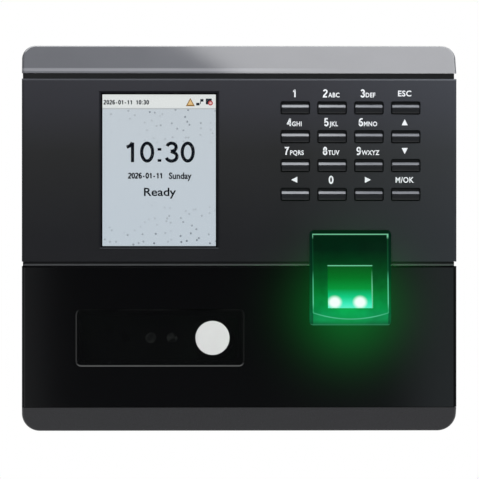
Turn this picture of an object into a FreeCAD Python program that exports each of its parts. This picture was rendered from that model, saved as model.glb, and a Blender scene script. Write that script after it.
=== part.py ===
import FreeCAD, Part
import math
import os
import Sketcher

# Wall terminal with a fingerprint reader, a display, a keypad and a camera window.
# Millimetres. +Z is up, +X is to the right of a person who faces it, the front looks along -Y,
# and the wall plane is Y = 0. A depth is a distance in front of the wall, so y = -depth.

doc = FreeCAD.newDocument("fingerprint_terminal")
sheet = doc.addObject("Spreadsheet::Sheet", "sizes")


class Size:
    # A number together with the sheet expression that it follows.
    def __init__(self, number, text):
        self.number = number
        self.text = text

    def __float__(self):
        return self.number

    def __add__(self, other):
        return Size(float(self) + float(other), f"({self.text} + {textOf(other)})")

    def __radd__(self, other):
        return Size(float(other) + float(self), f"({textOf(other)} + {self.text})")

    def __sub__(self, other):
        return Size(float(self) - float(other), f"({self.text} - {textOf(other)})")

    def __rsub__(self, other):
        return Size(float(other) - float(self), f"({textOf(other)} - {self.text})")

    def __mul__(self, other):
        return Size(float(self) * float(other), f"({self.text} * {textOf(other)})")

    def __rmul__(self, other):
        return Size(float(other) * float(self), f"({textOf(other)} * {self.text})")

    def __truediv__(self, other):
        return Size(float(self) / float(other), f"({self.text} / {textOf(other)})")

    def __neg__(self):
        return Size(-float(self), f"(0 - {self.text})")


def textOf(value):
    return value.text if isinstance(value, Size) else repr(float(value))


def root(value):
    return Size(math.sqrt(float(value)), f"sqrt({textOf(value)})")


def cell(alias, number):
    # One driving dimension: a row of the sheet, read back as a Size.
    row = cell.row = getattr(cell, "row", 0) + 1
    sheet.set(f"A{row}", alias)
    sheet.set(f"B{row}", str(number))
    sheet.setAlias(f"B{row}", alias)
    return Size(float(number), f"sizes.{alias}")


# Casing
width = cell("overall_width", 167.5)
height = cell("overall_height", 148.8)
depth = cell("body_depth", 28.0)
parting = cell("parting_depth", 17.0)
wall = cell("shell_wall", 2.2)
topRadius = cell("top_corner_radius", 5.3)
bottomRadius = cell("bottom_corner_radius", 6.9)
edgeRadius = cell("side_edge_radius", 1.2)
seam = cell("seam_gap", 0.2)
topBevelHeight = cell("top_bevel_height", 10.9)
topBevelDepth = cell("top_bevel_depth", 9.0)
bottomBevelHeight = cell("bottom_bevel_height", 9.3)
bottomBevelDepth = cell("bottom_bevel_depth", 8.0)
upperGroove = cell("upper_groove_height", 2.1)
lowerGroove = cell("lower_groove_height", 1.7)
lowerGrooveDrop = cell("lower_groove_drop", 84.25)
grooveDepth = cell("groove_depth", 1.2)
sideGrooveDepth = cell("side_groove_depth", 0.9)
lipChamfer = cell("lip_chamfer", 0.55)
clear = cell("cut_clearance", 1.0)

# Front frame
frameGap = cell("frame_gap", 0.2)
frameWall = cell("frame_wall", 2.0)
frameLap = cell("frame_lap", 1.5)
ribGap = cell("rib_gap", 0.1)
bossRadius = cell("boss_radius", 3.5)

# Rear cover and wall plate
rearSetback = cell("rear_setback", 0.3)
floorWall = cell("floor_wall", 2.2)
rearEdge = cell("rear_edge_radius", 1.5)
plateGap = cell("plate_gap", 0.3)
plateThickness = cell("plate_thickness", 1.5)
plateSideInset = cell("plate_side_inset", 12.25)
plateEndInset = cell("plate_end_inset", 6.4)
plateRadius = cell("plate_corner_radius", 5.0)
recessGap = cell("recess_gap", 0.5)
hookInset = cell("hook_inset", 9.5)
hookEndInset = cell("hook_end_inset", 32.0)
hookWidth = cell("hook_width", 12.0)
hookReach = cell("hook_reach", 4.5)
hookSeat = cell("hook_seat", 0.2)
wallScrewInset = cell("wall_screw_inset", 11.5)
wallScrewEndInset = cell("wall_screw_end_inset", 12.0)
wallScrewRadius = cell("wall_screw_radius", 2.5)
wallHeadRoom = cell("wall_head_room", 3.0)
plateWindowRise = cell("plate_window_rise", 43.4)
plateWindowWidth = cell("plate_window_width", 40.0)
plateWindowHeight = cell("plate_window_height", 44.0)
bayInset = cell("bay_inset", 29.5)
plateWindowInset = cell("plate_window_inset", 37.5)
bayWidth = cell("bay_width", 60.0)
bayRise = cell("bay_rise", 4.0)
tabWidth = cell("tab_width", 14.0)
tabReach = cell("tab_reach", 8.0)
tabInset = cell("tab_inset", 1.0)
lockSeat = cell("lock_screw_seat", 4.8)
lockRadius = cell("lock_screw_radius", 1.5)
lockHead = cell("lock_head_radius", 2.9)
lockLength = cell("lock_screw_length", 10.5)
lockDrive = cell("lock_drive_radius", 1.1)
threadGap = cell("thread_gap", 0.025)

# Case screws
caseScrewInset = cell("case_screw_inset", 8.55)
caseScrewDrop = cell("case_screw_drop", 16.4)
caseScrewRise = cell("case_screw_rise", 15.4)
caseScrewRadius = cell("case_screw_radius", 1.4)
caseHeadRadius = cell("case_head_radius", 2.6)
caseHeadHeight = cell("case_head_height", 1.8)
caseDriveRadius = cell("case_drive_radius", 1.05)
caseDriveDepth = cell("case_drive_depth", 0.8)
caseScrewLength = cell("case_screw_length", 16.0)
screwGap = cell("screw_gap", 0.2)
boardScrewReach = cell("board_screw_reach", 4.5)
postRadius = cell("post_radius", 3.4)

# Display
screenInset = cell("screen_inset", 52.85)
screenDrop = cell("screen_drop", 48.2)
screenWidth = cell("screen_width", 43.7)
screenHeight = cell("screen_height", 58.4)
windowBorder = cell("window_border", 1.1)
windowSink = cell("window_sink", 0.3)
windowGap = cell("window_gap", 0.12)
lcdMargin = cell("lcd_margin", 3.2)
lcdFoot = cell("lcd_foot", 6.0)
lcdThickness = cell("lcd_thickness", 2.4)
lipThickness = cell("aperture_lip", 0.8)
gasketThickness = cell("gasket_thickness", 0.5)
cradleWall = cell("cradle_wall", 0.8)

# Keypad
keypadInset = cell("keypad_inset", 40.95)
keypadDrop = cell("keypad_drop", 40.85)
keyPitchX = cell("key_pitch_x", 14.2)
keyPitchZ = cell("key_pitch_z", 11.1)
keyHoleWidth = cell("key_hole_width", 11.4)
keyHoleHeight = cell("key_hole_height", 5.1)
keyHoleRadius = cell("key_hole_radius", 0.8)
keyGap = cell("key_gap", 0.3)
keyRise = cell("key_rise", 0.6)
keySink = cell("key_sink", 0.9)
keyBevel = cell("key_bevel_height", 1.2)
keyShoulder = cell("key_shoulder", 1.05)
keyTravel = cell("key_travel", 1.0)
keyFlange = cell("key_flange", 0.7)
keyFlangeThickness = cell("key_flange_thickness", 0.9)
keyFlangeGap = cell("key_flange_gap", 0.15)
keyStemWidth = cell("key_stem_width", 6.0)
keyStemHeight = cell("key_stem_height", 2.6)
matThickness = cell("mat_thickness", 1.2)
matMargin = cell("mat_margin", 1.6)
boardThickness = cell("board_thickness", 1.6)

# Fingerprint reader
sensorInset = cell("sensor_inset", 41.05)
sensorRise = cell("sensor_rise", 12.75)
sensorWidth = cell("sensor_width", 31.0)
sensorHeight = cell("sensor_height", 36.4)
sensorRadius = cell("sensor_corner_radius", 1.4)
sensorGap = cell("sensor_gap", 0.2)
sensorRim = cell("sensor_rim", 1.05)
sensorProud = cell("sensor_proud", 4.2)
sensorTopProud = cell("sensor_top_proud", 0.5)
lipHeight = cell("lip_height", 4.0)
lipSlope = cell("lip_slope", 1.6)
troughTopSink = cell("trough_top_sink", 6.0)
troughSag = cell("trough_sag", 1.3)
bezelFloor = cell("bezel_floor", 1.6)
troughEnd = cell("trough_end_inset", 1.4)
troughTopSag = cell("trough_top_sag", 3.2)
rimRadius = cell("rim_radius", 0.35)
glassWidth = cell("glass_width", 17.2)
glassDrop = cell("glass_drop", 13.3)
glassHeight = cell("glass_height", 16.5)
glassThickness = cell("glass_thickness", 4.5)
glassChamfer = cell("glass_chamfer", 0.25)
glassGap = cell("glass_gap", 0.1)
flangeMargin = cell("flange_margin", 2.0)
flangeThickness = cell("flange_thickness", 1.5)
housingDepth = cell("housing_depth", 8.0)
housingWall = cell("housing_wall", 1.2)
readerLed = cell("reader_led_size", 2.0)
readerLedInset = cell("reader_led_inset", 1.0)

# Camera window and lamp
cameraInset = cell("camera_inset", 53.15)
cameraRise = cell("camera_rise", 36.0)
cameraWidth = cell("camera_window_width", 65.2)
cameraHeight = cell("camera_window_height", 22.2)
cameraRadius = cell("camera_window_radius", 2.3)
cameraRim = cell("camera_seat_rim", 2.6)
cameraSink = cell("camera_window_sink", 0.2)
lampInset = cell("lamp_inset", 12.4)
lampRadius = cell("lamp_radius", 6.65)
lampFlange = cell("lamp_flange", 1.6)
lampLed = cell("lamp_led_size", 2.8)
lampLedOffset = cell("lamp_led_offset", 3.0)
lensOffset = cell("lens_offset", -3.5)
lensSpacing = cell("lens_spacing", 8.2)
lensRadius = cell("lens_radius", 3.2)
lensMouth = cell("lens_mouth_radius", 2.25)
lensGlass = cell("lens_glass_radius", 2.1)
lensGlassThickness = cell("lens_glass_thickness", 0.65)
lensBase = cell("lens_base_size", 7.7)
infraredOffset = cell("infrared_offset", -17.2)
infraredRing = cell("infrared_ring_radius", 4.1)
infraredLed = cell("infrared_led_radius", 1.65)
cameraBoardDepth = cell("camera_board_depth", 18.0)
cameraPostInset = cell("camera_post_inset", 2.6)
cameraPostRadius = cell("camera_post_radius", 2.2)

# Main board and what is on it
mainInset = cell("main_board_inset", 53.75)
mainLowInset = cell("main_board_low_inset", 5.4)
mainHighInset = cell("main_board_high_inset", 12.9)
mainWidth = cell("main_board_width", 75.0)
mainDepth = cell("main_board_depth", 15.4)
mainPostInset = cell("main_post_inset", 4.5)
mainPostLow = cell("main_post_low_inset", 12.0)
socketWidth = cell("network_socket_width", 16.0)
socketDepth = cell("network_socket_depth", 13.0)
socketHeight = cell("network_socket_height", 14.0)
socketWall = cell("network_socket_wall", 2.0)
socketBase = cell("network_socket_base", 3.0)
terminalPitch = cell("terminal_pitch", 3.81)
terminalDepth = cell("terminal_depth", 8.5)
terminalWall = cell("terminal_wall", 0.55)
terminalRise = cell("terminal_rise", 3.0)
terminalMouthDepth = cell("terminal_mouth_depth", 4.5)
terminalMouthHeight = cell("terminal_mouth_height", 6.0)
connectorGap = cell("connector_gap", 2.5)
jackInset = cell("power_jack_inset", 4.64)
jackWidth = cell("power_jack_width", 9.0)
jackDepth = cell("power_jack_depth", 10.4)
jackBore = cell("power_jack_bore_radius", 3.2)
jackPin = cell("power_jack_pin_radius", 1.0)
usbOffset = cell("usb_offset", -16.0)
usbWidth = cell("usb_width", 14.0)
usbThickness = cell("usb_thickness", 7.2)
usbLength = cell("usb_length", 14.0)
usbWall = cell("usb_wall", 0.5)
usbTongueGap = cell("usb_tongue_gap", 0.3)
usbTongue = cell("usb_tongue_thickness", 1.7)
processorSize = cell("processor_size", 14.0)
processorDrop = cell("processor_drop", 9.0)
processorOffset = cell("processor_offset", -2.0)
chipThickness = cell("chip_thickness", 1.4)
memoryWidth = cell("memory_width", 10.0)
memoryHeight = cell("memory_height", 8.0)
chipGap = cell("chip_gap", 5.0)
coilSize = cell("coil_size", 8.0)
coilThickness = cell("coil_thickness", 2.6)
clockCellRadius = cell("clock_cell_radius", 10.0)
clockCellThickness = cell("clock_cell_thickness", 4.2)
clockCellDrop = cell("clock_cell_drop", 41.5)
speakerInset = cell("speaker_inset", 35.75)
speakerWidth = cell("speaker_width", 30.0)
speakerHeight = cell("speaker_height", 12.0)
speakerDepth = cell("speaker_depth", 9.0)
slotPitch = cell("speaker_slot_pitch", 3.0)
slotWidth = cell("speaker_slot_width", 1.2)
slotRadius = cell("speaker_slot_radius", 0.59)
tamperOffset = cell("tamper_offset", 32.0)
tamperDrop = cell("tamper_drop", 44.4)
tamperRadius = cell("tamper_radius", 1.8)
tamperGap = cell("tamper_gap", 0.3)
doc.recompute()

halfWidth = width / 2
halfHeight = height / 2
skinInside = depth - wall
frameFront = skinInside - frameGap
frameBack = frameFront - frameWall
frameInset = wall + rearSetback + frameGap
floorBack = plateThickness + plateGap
floorFront = floorBack + floorWall
upperTop = halfHeight - topBevelHeight - upperGroove
lowerGrooveLevel = halfHeight - lowerGrooveDrop
upperBottom = lowerGrooveLevel + lowerGroove / 2
lowerTop = lowerGrooveLevel - lowerGroove / 2
lowerBottom = -halfHeight + bottomBevelHeight
plateWidth = width - 2 * plateSideInset
plateHeight = height - 2 * plateEndInset
hookX = plateWidth / 2 - hookInset
hookLevel = plateHeight / 2 - hookEndInset
wallScrewX = plateWidth / 2 - wallScrewInset
wallScrewLevel = plateHeight / 2 - wallScrewEndInset
caseScrewX = halfWidth - caseScrewInset
caseScrewUpper = halfHeight - caseScrewDrop
caseScrewLower = caseScrewRise - halfHeight
screenX = screenInset - halfWidth
screenLevel = halfHeight - screenDrop
keypadX = halfWidth - keypadInset
keypadLevel = halfHeight - keypadDrop
sensorX = halfWidth - sensorInset
sensorTop = lowerGrooveLevel + sensorRise
sensorBottom = sensorTop - sensorHeight
glassTop = sensorTop - glassDrop
cameraX = cameraInset - halfWidth
cameraLevel = cameraRise - halfHeight
mainX = mainInset - halfWidth
mainLeft = mainX - mainWidth / 2
mainRight = mainX + mainWidth / 2
bayX = mainRight - bayInset
plateWindowX = mainRight - plateWindowInset
usbX = mainX + usbOffset
tamperX = mainX + tamperOffset
tamperLevel = halfHeight - tamperDrop
plateWindowLevel = plateWindowRise - halfHeight
speakerX = halfWidth - speakerInset


# Drawing tools

def bind(thing, name, value):
    thing.setExpression(name, textOf(value))


def box(x, z, w, tall, radius=None, lowerRadius=None):
    return ("box", x, z, w, tall, radius, lowerRadius or radius)


def span(left, right, low, high, radius=None):
    return box((left + right) / 2, (low + high) / 2, right - left, high - low, radius)


def disc(x, z, radius):
    return ("disc", x, z, radius)


def loop(points):
    return ("loop", points)


def at(x, y):
    return FreeCAD.Vector(float(x), float(y), 0)


def pinX(sketch, item, point, value):
    index = sketch.addConstraint(Sketcher.Constraint("DistanceX", -1, 1, item, point, float(value)))
    bind(sketch, f"Constraints[{index}]", value)


def pinY(sketch, item, point, value):
    index = sketch.addConstraint(Sketcher.Constraint("DistanceY", -1, 1, item, point, float(value)))
    bind(sketch, f"Constraints[{index}]", value)


def pinRadius(sketch, item, value):
    index = sketch.addConstraint(Sketcher.Constraint("Radius", item, float(value)))
    bind(sketch, f"Constraints[{index}]", value)


def drawLoop(sketch, points):
    # Straight edges from point to point. A point with a third value is reached by an arc of that radius.
    items = []
    for index, start in enumerate(points):
        end = points[(index + 1) % len(points)]
        if len(end) == 3:
            items.append(sketch.addGeometry(arcBetween(start, end), False))
        else:
            items.append(sketch.addGeometry(Part.LineSegment(at(*start[:2]), at(*end[:2])), False))
    for index, item in enumerate(items):
        following = (index + 1) % len(items)
        sketch.addConstraint(Sketcher.Constraint("Coincident", item, 2, items[following], 1))
        pinX(sketch, item, 1, points[index][0])
        pinY(sketch, item, 1, points[index][1])
        if len(points[following]) == 3:
            pinRadius(sketch, item, points[following][2])


def arcBetween(start, end):
    # A shallow arc, bulging to the right of the way from start to end.
    first = at(*start[:2])
    last = at(*end[:2])
    chord = last - first
    radius = float(end[2])
    rise = radius - math.sqrt(radius ** 2 - (chord.Length / 2) ** 2)
    side = FreeCAD.Vector(chord.y, -chord.x, 0).normalize()
    return Part.Arc(first, (first + last) / 2 + side * rise, last)


def drawBox(sketch, x, z, w, tall, radius, lowerRadius):
    left = x - w / 2
    right = x + w / 2
    low = z - tall / 2
    high = z + tall / 2
    if radius is None:
        drawLoop(sketch, [(left, low), (right, low), (right, high), (left, high)])
        return
    radii = [lowerRadius, radius, radius, lowerRadius]
    corners = [(right, low), (right, high), (left, high), (left, low)]
    inward = [(-1, 1), (-1, -1), (1, -1), (1, 1)]
    starts = [(left, low, lowerRadius, 0), (right, low, lowerRadius, 1),
              (right, high, radius, 0), (left, high, radius, 1)]
    ends = [(right, low, lowerRadius, 0), (right, high, radius, 1),
            (left, high, radius, 0), (left, low, lowerRadius, 1)]
    directions = [(1, 0), (0, 1), (-1, 0), (0, -1)]
    sides = []
    arcs = []
    for start, end, way in zip(starts, ends, directions):
        first = at(start[0] + start[2] * way[0], start[1] + start[2] * way[1])
        last = at(end[0] - end[2] * way[0], end[1] - end[2] * way[1])
        sides.append(sketch.addGeometry(Part.LineSegment(first, last), False))
    for index, (corner, step, r) in enumerate(zip(corners, inward, radii)):
        centre = at(corner[0] + r * step[0], corner[1] + r * step[1])
        circle = Part.Circle(centre, FreeCAD.Vector(0, 0, 1), float(r))
        turn = (index - 1) * math.pi / 2
        arcs.append(sketch.addGeometry(Part.ArcOfCircle(circle, turn, turn + math.pi / 2), False))
    for index in range(4):
        sketch.addConstraint(Sketcher.Constraint("Tangent", sides[index], 2, arcs[index], 1))
        sketch.addConstraint(Sketcher.Constraint("Tangent", arcs[index], 2, sides[(index + 1) % 4], 1))
        sketch.addConstraint(Sketcher.Constraint(["Horizontal", "Vertical"][index % 2], sides[index]))
        pinRadius(sketch, arcs[index], radii[index])
    pinX(sketch, sides[3], 1, left)
    pinX(sketch, sides[1], 1, right)
    pinY(sketch, sides[0], 1, low)
    pinY(sketch, sides[2], 1, high)


def drawDisc(sketch, x, z, radius):
    item = sketch.addGeometry(Part.Circle(at(x, z), FreeCAD.Vector(0, 0, 1), float(radius)), False)
    pinX(sketch, item, 3, x)
    pinY(sketch, item, 3, z)
    pinRadius(sketch, item, radius)


def sketchOn(body, name, role, offset, shapes):
    sketch = body.newObject("Sketcher::SketchObject", name)
    plane = [feature for feature in body.Origin.OriginFeatures if feature.Role == role][0]
    sketch.AttachmentSupport = [(plane, "")]
    sketch.MapMode = "FlatFace"
    bind(sketch, "AttachmentOffset.Base.z", offset)
    for shape in shapes:
        {"box": drawBox, "disc": drawDisc, "loop": drawLoop}[shape[0]](sketch, *shape[1:])
    return sketch


def newBody(name):
    body = doc.addObject("PartDesign::Body", name)
    body.Label = name
    return body


def pad(body, name, low, high, shapes, role="XZ_Plane"):
    # Material from low to high, measured along the plane's normal: depth, height (XY) or x (YZ).
    feature = body.newObject("PartDesign::Pad", name)
    feature.Profile = sketchOn(body, name + "_sketch", role, low, shapes)
    bind(feature, "Length", high - low)
    return feature


def cut(body, name, low, high, shapes, role="XZ_Plane"):
    feature = body.newObject("PartDesign::Pocket", name)
    feature.Profile = sketchOn(body, name + "_sketch", role, high, shapes)
    bind(feature, "Length", high - low)
    cuts.append(feature)
    return feature


def edgesWhere(shape, test):
    return [f"Edge{index}" for index, edge in enumerate(shape.Edges, 1) if test(edge)]


def near(a, b):
    return abs(float(a) - float(b)) < 1e-4


def liesAt(edge, x=None, y=None, z=None):
    # True when every end of the edge has the given coordinates; x is compared without its sign.
    return all((x is None or near(abs(vertex.X), x)) and (y is None or near(vertex.Y, y))
               and (z is None or near(vertex.Z, z)) for vertex in edge.Vertexes)


def ease(body, name, kind, amount, test):
    # A fillet or chamfer on the edges of the body's last feature that pass the test.
    doc.recompute()
    base = body.Tip
    feature = body.newObject("PartDesign::" + kind, name)
    feature.Base = (base, edgesWhere(base.Shape, test))
    bind(feature, "Radius" if kind == "Fillet" else "Size", amount)
    return feature


def repeat(body, name, feature, pitchX, countX, pitchZ=None, countZ=1):
    pattern = body.newObject("PartDesign::LinearPattern", name)
    pattern.Originals = [feature]
    pattern.Direction = (feature.Profile[0], ["H_Axis"])
    bind(pattern, "Length", pitchX * (countX - 1))
    pattern.Occurrences = countX
    if pitchZ is not None:
        pattern.Direction2 = (feature.Profile[0], ["V_Axis"])
        bind(pattern, "Length2", pitchZ * (countZ - 1))
        pattern.Occurrences2 = countZ
    body.Tip = pattern
    return pattern


def place(thing, x, y, z):
    bind(thing, ".Placement.Base.x", x)
    bind(thing, ".Placement.Base.y", y)
    bind(thing, ".Placement.Base.z", z)
    return thing


def brick(name, left, right, low, high, back, front):
    # A block from one depth to another.
    thing = doc.addObject("Part::Box", name)
    bind(thing, "Length", right - left)
    bind(thing, "Width", front - back)
    bind(thing, "Height", high - low)
    return place(thing, left, -front, low)


def peg(name, x, z, radius, back, front):
    # A cylinder that points away from the wall.
    thing = doc.addObject("Part::Cylinder", name)
    thing.Placement = FreeCAD.Placement(FreeCAD.Vector(), FreeCAD.Rotation(FreeCAD.Vector(1, 0, 0), 90))
    bind(thing, "Radius", radius)
    bind(thing, "Height", front - back)
    return place(thing, x, -back, z)


def post(name, x, depthAt, radius, low, high):
    # A cylinder that points up.
    thing = doc.addObject("Part::Cylinder", name)
    bind(thing, "Radius", radius)
    bind(thing, "Height", high - low)
    return place(thing, x, -depthAt, low)


def fuse(name, things):
    thing = doc.addObject("Part::MultiFuse", name)
    thing.Shapes = things
    return thing


def less(name, base, tool):
    thing = doc.addObject("Part::Cut", name)
    thing.Base = base
    thing.Tool = tool
    return thing


def group(name, things):
    # Loose solids that share a node.
    thing = doc.addObject("Part::Compound", name)
    thing.Links = things
    thing.Label = name
    return thing


cuts = []


def bevelWedge(sign, rise, run, inset):
    # The wedge outside a bevel of the casing: over it for sign 1, under it for sign -1.
    slant = root(rise * rise + run * run)
    front = depth + clear
    crest = halfHeight + clear
    edge = halfHeight - rise - inset * slant / run - clear * rise / run
    back = depth - (rise + clear) * run / rise - inset * slant / rise
    return loop([(-front, sign * edge), (-back, sign * crest), (-front, sign * crest)])


def cutBevels(body, inset):
    for name, sign, rise, run in (("top_bevel", 1, topBevelHeight, topBevelDepth),
                                  ("bottom_bevel", -1, bottomBevelHeight, bottomBevelDepth)):
        cut(body, body.Name + "_" + name, -halfWidth - clear, halfWidth + clear,
            [bevelWedge(sign, rise, run, inset)], "YZ_Plane")


def casingOutline(inset):
    return box(0, 0, width - 2 * inset, height - 2 * inset, topRadius - inset, bottomRadius - inset)


# Outer skins: four bands of one rounded, bevelled outline

def skinCavity(body):
    # The hollow behind a skin follows the bevels at the wall's thickness.
    topSlant = root(topBevelHeight * topBevelHeight + topBevelDepth * topBevelDepth)
    lowSlant = root(bottomBevelHeight * bottomBevelHeight + bottomBevelDepth * bottomBevelDepth)
    topEdge = (halfHeight - topBevelHeight + wall * topBevelHeight / topBevelDepth
               - wall * topSlant / topBevelDepth)
    lowEdge = (halfHeight - bottomBevelHeight + wall * bottomBevelHeight / bottomBevelDepth
               - wall * lowSlant / bottomBevelDepth)
    topBack = depth - topBevelDepth + wall * topBevelDepth / topBevelHeight - wall * topSlant / topBevelHeight
    lowBack = (depth - bottomBevelDepth + wall * bottomBevelDepth / bottomBevelHeight
               - wall * lowSlant / bottomBevelHeight)
    ceiling = halfHeight - wall
    cut(body, body.Name + "_cavity", -halfWidth + wall, halfWidth - wall, [loop([
        (-parting + clear, -ceiling), (-parting + clear, ceiling), (-topBack, ceiling),
        (-skinInside, topEdge), (-skinInside, -lowEdge), (-lowBack, -ceiling)])], "YZ_Plane")


def bevelledSkin(name, low, high):
    # The top or bottom band of the casing, cut from the whole rounded and bevelled block.
    body = newBody(name)
    pad(body, name + "_outline", parting, depth, [casingOutline(0)])
    cutBevels(body, 0)
    ease(body, name + "_edges", "Fillet", edgeRadius, isFrontRim)
    skinCavity(body)
    cut(body, name + "_band", parting - clear, depth + clear,
        [span(-halfWidth - clear, halfWidth + clear, low, high)])
    return body


def isFrontRim(edge):
    # The outer rim of the front, but not the creases where the bevels begin.
    levels = [vertex.Z for vertex in edge.Vertexes]
    depths = [-vertex.Y for vertex in edge.Vertexes]
    runsBack = near(levels[0], levels[-1]) and near(edge.Vertexes[0].X, edge.Vertexes[-1].X)
    crease = near(levels[0], levels[-1]) and near(depths[0], depth) and near(depths[-1], depth)
    return min(depths) > float(parting) + 0.1 and not runsBack and not crease


def flatSkin(name, low, high):
    # A cover with a flat front and rounded side edges, drawn once as a section and raised from low to high.
    body = newBody(name)
    shoulder = -depth + edgeRadius
    pad(body, name + "_section", low, high, [loop([
        (-halfWidth, -parting), (-halfWidth, shoulder), (-halfWidth + edgeRadius, -depth, edgeRadius),
        (halfWidth - edgeRadius, -depth), (halfWidth, shoulder, edgeRadius), (halfWidth, -parting),
        (halfWidth - wall, -parting), (halfWidth - wall, -skinInside), (-halfWidth + wall, -skinInside),
        (-halfWidth + wall, -parting)])], "XY_Plane")
    return body


def sensorOpening(body):
    reach = sensorWidth / 2 + sensorGap
    cut(body, body.Name + "_sensor_opening", parting - clear, depth + clear,
        [span(sensorX - reach, sensorX + reach, sensorBottom - sensorGap, sensorTop + sensorGap,
              sensorRadius + sensorGap)])


def cutLip(body, level):
    # A small chamfer along the top front edge, under a groove.
    reach = lipChamfer + clear
    cut(body, body.Name + "_lip", -halfWidth - clear, halfWidth + clear, [loop([
        (-depth - clear, level - reach), (-depth + reach, level + clear), (-depth - clear, level + clear)])],
        "YZ_Plane")


farEdge = halfHeight + 2 * clear
bevelledSkin("top_cap", -farEdge, halfHeight - topBevelHeight)

upperCover = flatSkin("upper_cover", upperBottom, upperTop)
cutLip(upperCover, upperTop)
windowWidth = screenWidth + 2 * windowBorder
windowHeight = screenHeight + 2 * windowBorder
cut(upperCover, "display_opening", parting, depth + clear,
    [box(screenX, screenLevel, windowWidth + 2 * windowGap, windowHeight + 2 * windowGap)])
keyRows = [["key_left", "key_0", "key_right", "key_ok"], ["key_7", "key_8", "key_9", "key_down"],
           ["key_4", "key_5", "key_6", "key_up"], ["key_1", "key_2", "key_3", "key_esc"]]
rowCount = len(keyRows)
columnCount = len(keyRows[0])
keySpanX = keyPitchX * (columnCount - 1)
keySpanZ = keyPitchZ * (rowCount - 1)
firstKeyX = keypadX - keySpanX / 2
firstKeyLevel = keypadLevel - keySpanZ / 2
keyHole = cut(upperCover, "key_hole", parting, depth + clear,
              [box(firstKeyX, firstKeyLevel, keyHoleWidth, keyHoleHeight, keyHoleRadius)])
doc.recompute()
repeat(upperCover, "key_holes", keyHole, keyPitchX, columnCount, keyPitchZ, rowCount)
sensorOpening(upperCover)

lowerCover = flatSkin("lower_cover", lowerBottom + seam / 2, lowerTop)
cutLip(lowerCover, lowerTop)
cut(lowerCover, "camera_opening", parting, depth + clear,
    [box(cameraX, cameraLevel, cameraWidth, cameraHeight, cameraRadius)])
sensorOpening(lowerCover)

bevelledSkin("bottom_cap", lowerBottom - seam / 2, farEdge)


# Front frame: the chassis that the skins close over. Its ribs are the floors of the two grooves.

frame = newBody("front_frame")
pad(frame, "frame_block", parting - frameLap, frameFront, [casingOutline(frameInset)])
cutBevels(frame, frameInset)
inner = frameInset + frameWall
cut(frame, "frame_hollow", parting - frameLap - clear, frameBack,
    [span(-halfWidth + inner, halfWidth - inner, -halfHeight + inner + bottomBevelHeight / 2,
          halfHeight - inner - topBevelHeight / 2)])
cut(frame, "frame_hollow_rim", parting - frameLap - clear, parting + clear,
    [span(-halfWidth + inner, halfWidth - inner, -halfHeight + inner, halfHeight - inner)])


def grooveRib(name, low, high):
    outer = halfWidth - sideGrooveDepth
    core = halfWidth - frameInset - frameWall / 2
    pad(frame, name, low + ribGap, high - ribGap, [loop([
        (-outer, -parting - seam), (-outer, -depth + grooveDepth), (outer, -depth + grooveDepth),
        (outer, -parting - seam), (core, -parting - seam), (core, -frameFront + frameWall / 2),
        (-core, -frameFront + frameWall / 2), (-core, -parting - seam)])], "XY_Plane")


grooveRib("upper_rib", upperTop, upperTop + upperGroove)
grooveRib("lower_rib", lowerTop, upperBottom)
sensorOpening(frame)
screenBottom = screenLevel - screenHeight / 2
screenTop = screenLevel + screenHeight / 2
lcdLeft = screenX - screenWidth / 2 - lcdMargin
lcdRight = screenX + screenWidth / 2 + lcdMargin
lcdBottom = screenBottom - lcdFoot
lcdTop = screenTop + lcdMargin
cut(frame, "display_aperture", frameBack - clear, frameFront + clear,
    [box(screenX, screenLevel, screenWidth, screenHeight)])
cut(frame, "display_seat", frameBack - clear, frameFront - lipThickness,
    [span(lcdLeft - windowGap, lcdRight + windowGap, lcdBottom - windowGap, lcdTop + windowGap)])
flangeWidth = keyHoleWidth - 2 * keyGap + 2 * keyFlange
flangeHeight = keyHoleHeight - 2 * keyGap + 2 * keyFlange
cut(frame, "keypad_aperture", frameBack - clear, frameFront + clear,
    [box(keypadX, keypadLevel, keySpanX + flangeWidth + 2 * keyGap, keySpanZ + flangeHeight + 2 * keyGap)])
cut(frame, "camera_aperture", frameBack - clear, frameFront + clear,
    [box(cameraX, cameraLevel, cameraWidth - 2 * cameraRim, cameraHeight - 2 * cameraRim, cameraRadius)])
mainLow = mainLowInset - halfHeight
mainHigh = halfHeight - mainHighInset
mainFront = mainDepth + boardThickness
mainPosts = [(mainLeft + mainPostInset, mainHigh - mainPostInset),
             (mainRight - mainPostInset, mainHigh - mainPostInset),
             (mainLeft + mainPostInset, mainLow + mainPostLow),
             (mainRight - mainPostInset, mainLow + mainPostLow)]
casePosts = [(-caseScrewX, caseScrewUpper), (caseScrewX, caseScrewUpper),
             (-caseScrewX, caseScrewLower), (caseScrewX, caseScrewLower)]
cameraFront = cameraBoardDepth + boardThickness
cameraBoardWidth = cameraWidth + 2 * cameraPostInset + 2 * cameraPostRadius
cameraPosts = [(cameraX - cameraWidth / 2, cameraLevel), (cameraX + cameraWidth / 2, cameraLevel)]
pad(frame, "main_posts", mainFront, frameFront - frameWall / 2,
    [disc(x, z, bossRadius) for x, z in mainPosts])
cut(frame, "main_post_holes", mainFront - clear, frameBack,
    [disc(x, z, caseScrewRadius + threadGap) for x, z in mainPosts])
pad(frame, "case_posts", parting + seam, frameFront - frameWall / 2,
    [disc(x, z, postRadius) for x, z in casePosts])
cut(frame, "case_post_holes", parting, frameBack,
    [disc(x, z, caseScrewRadius + threadGap) for x, z in casePosts])
pad(frame, "camera_posts", cameraFront, frameFront - frameWall / 2,
    [disc(x, z, cameraPostRadius) for x, z in cameraPosts])
usbLow = -halfHeight + rearSetback + wall + seam / 2


# Rear cover

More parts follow.
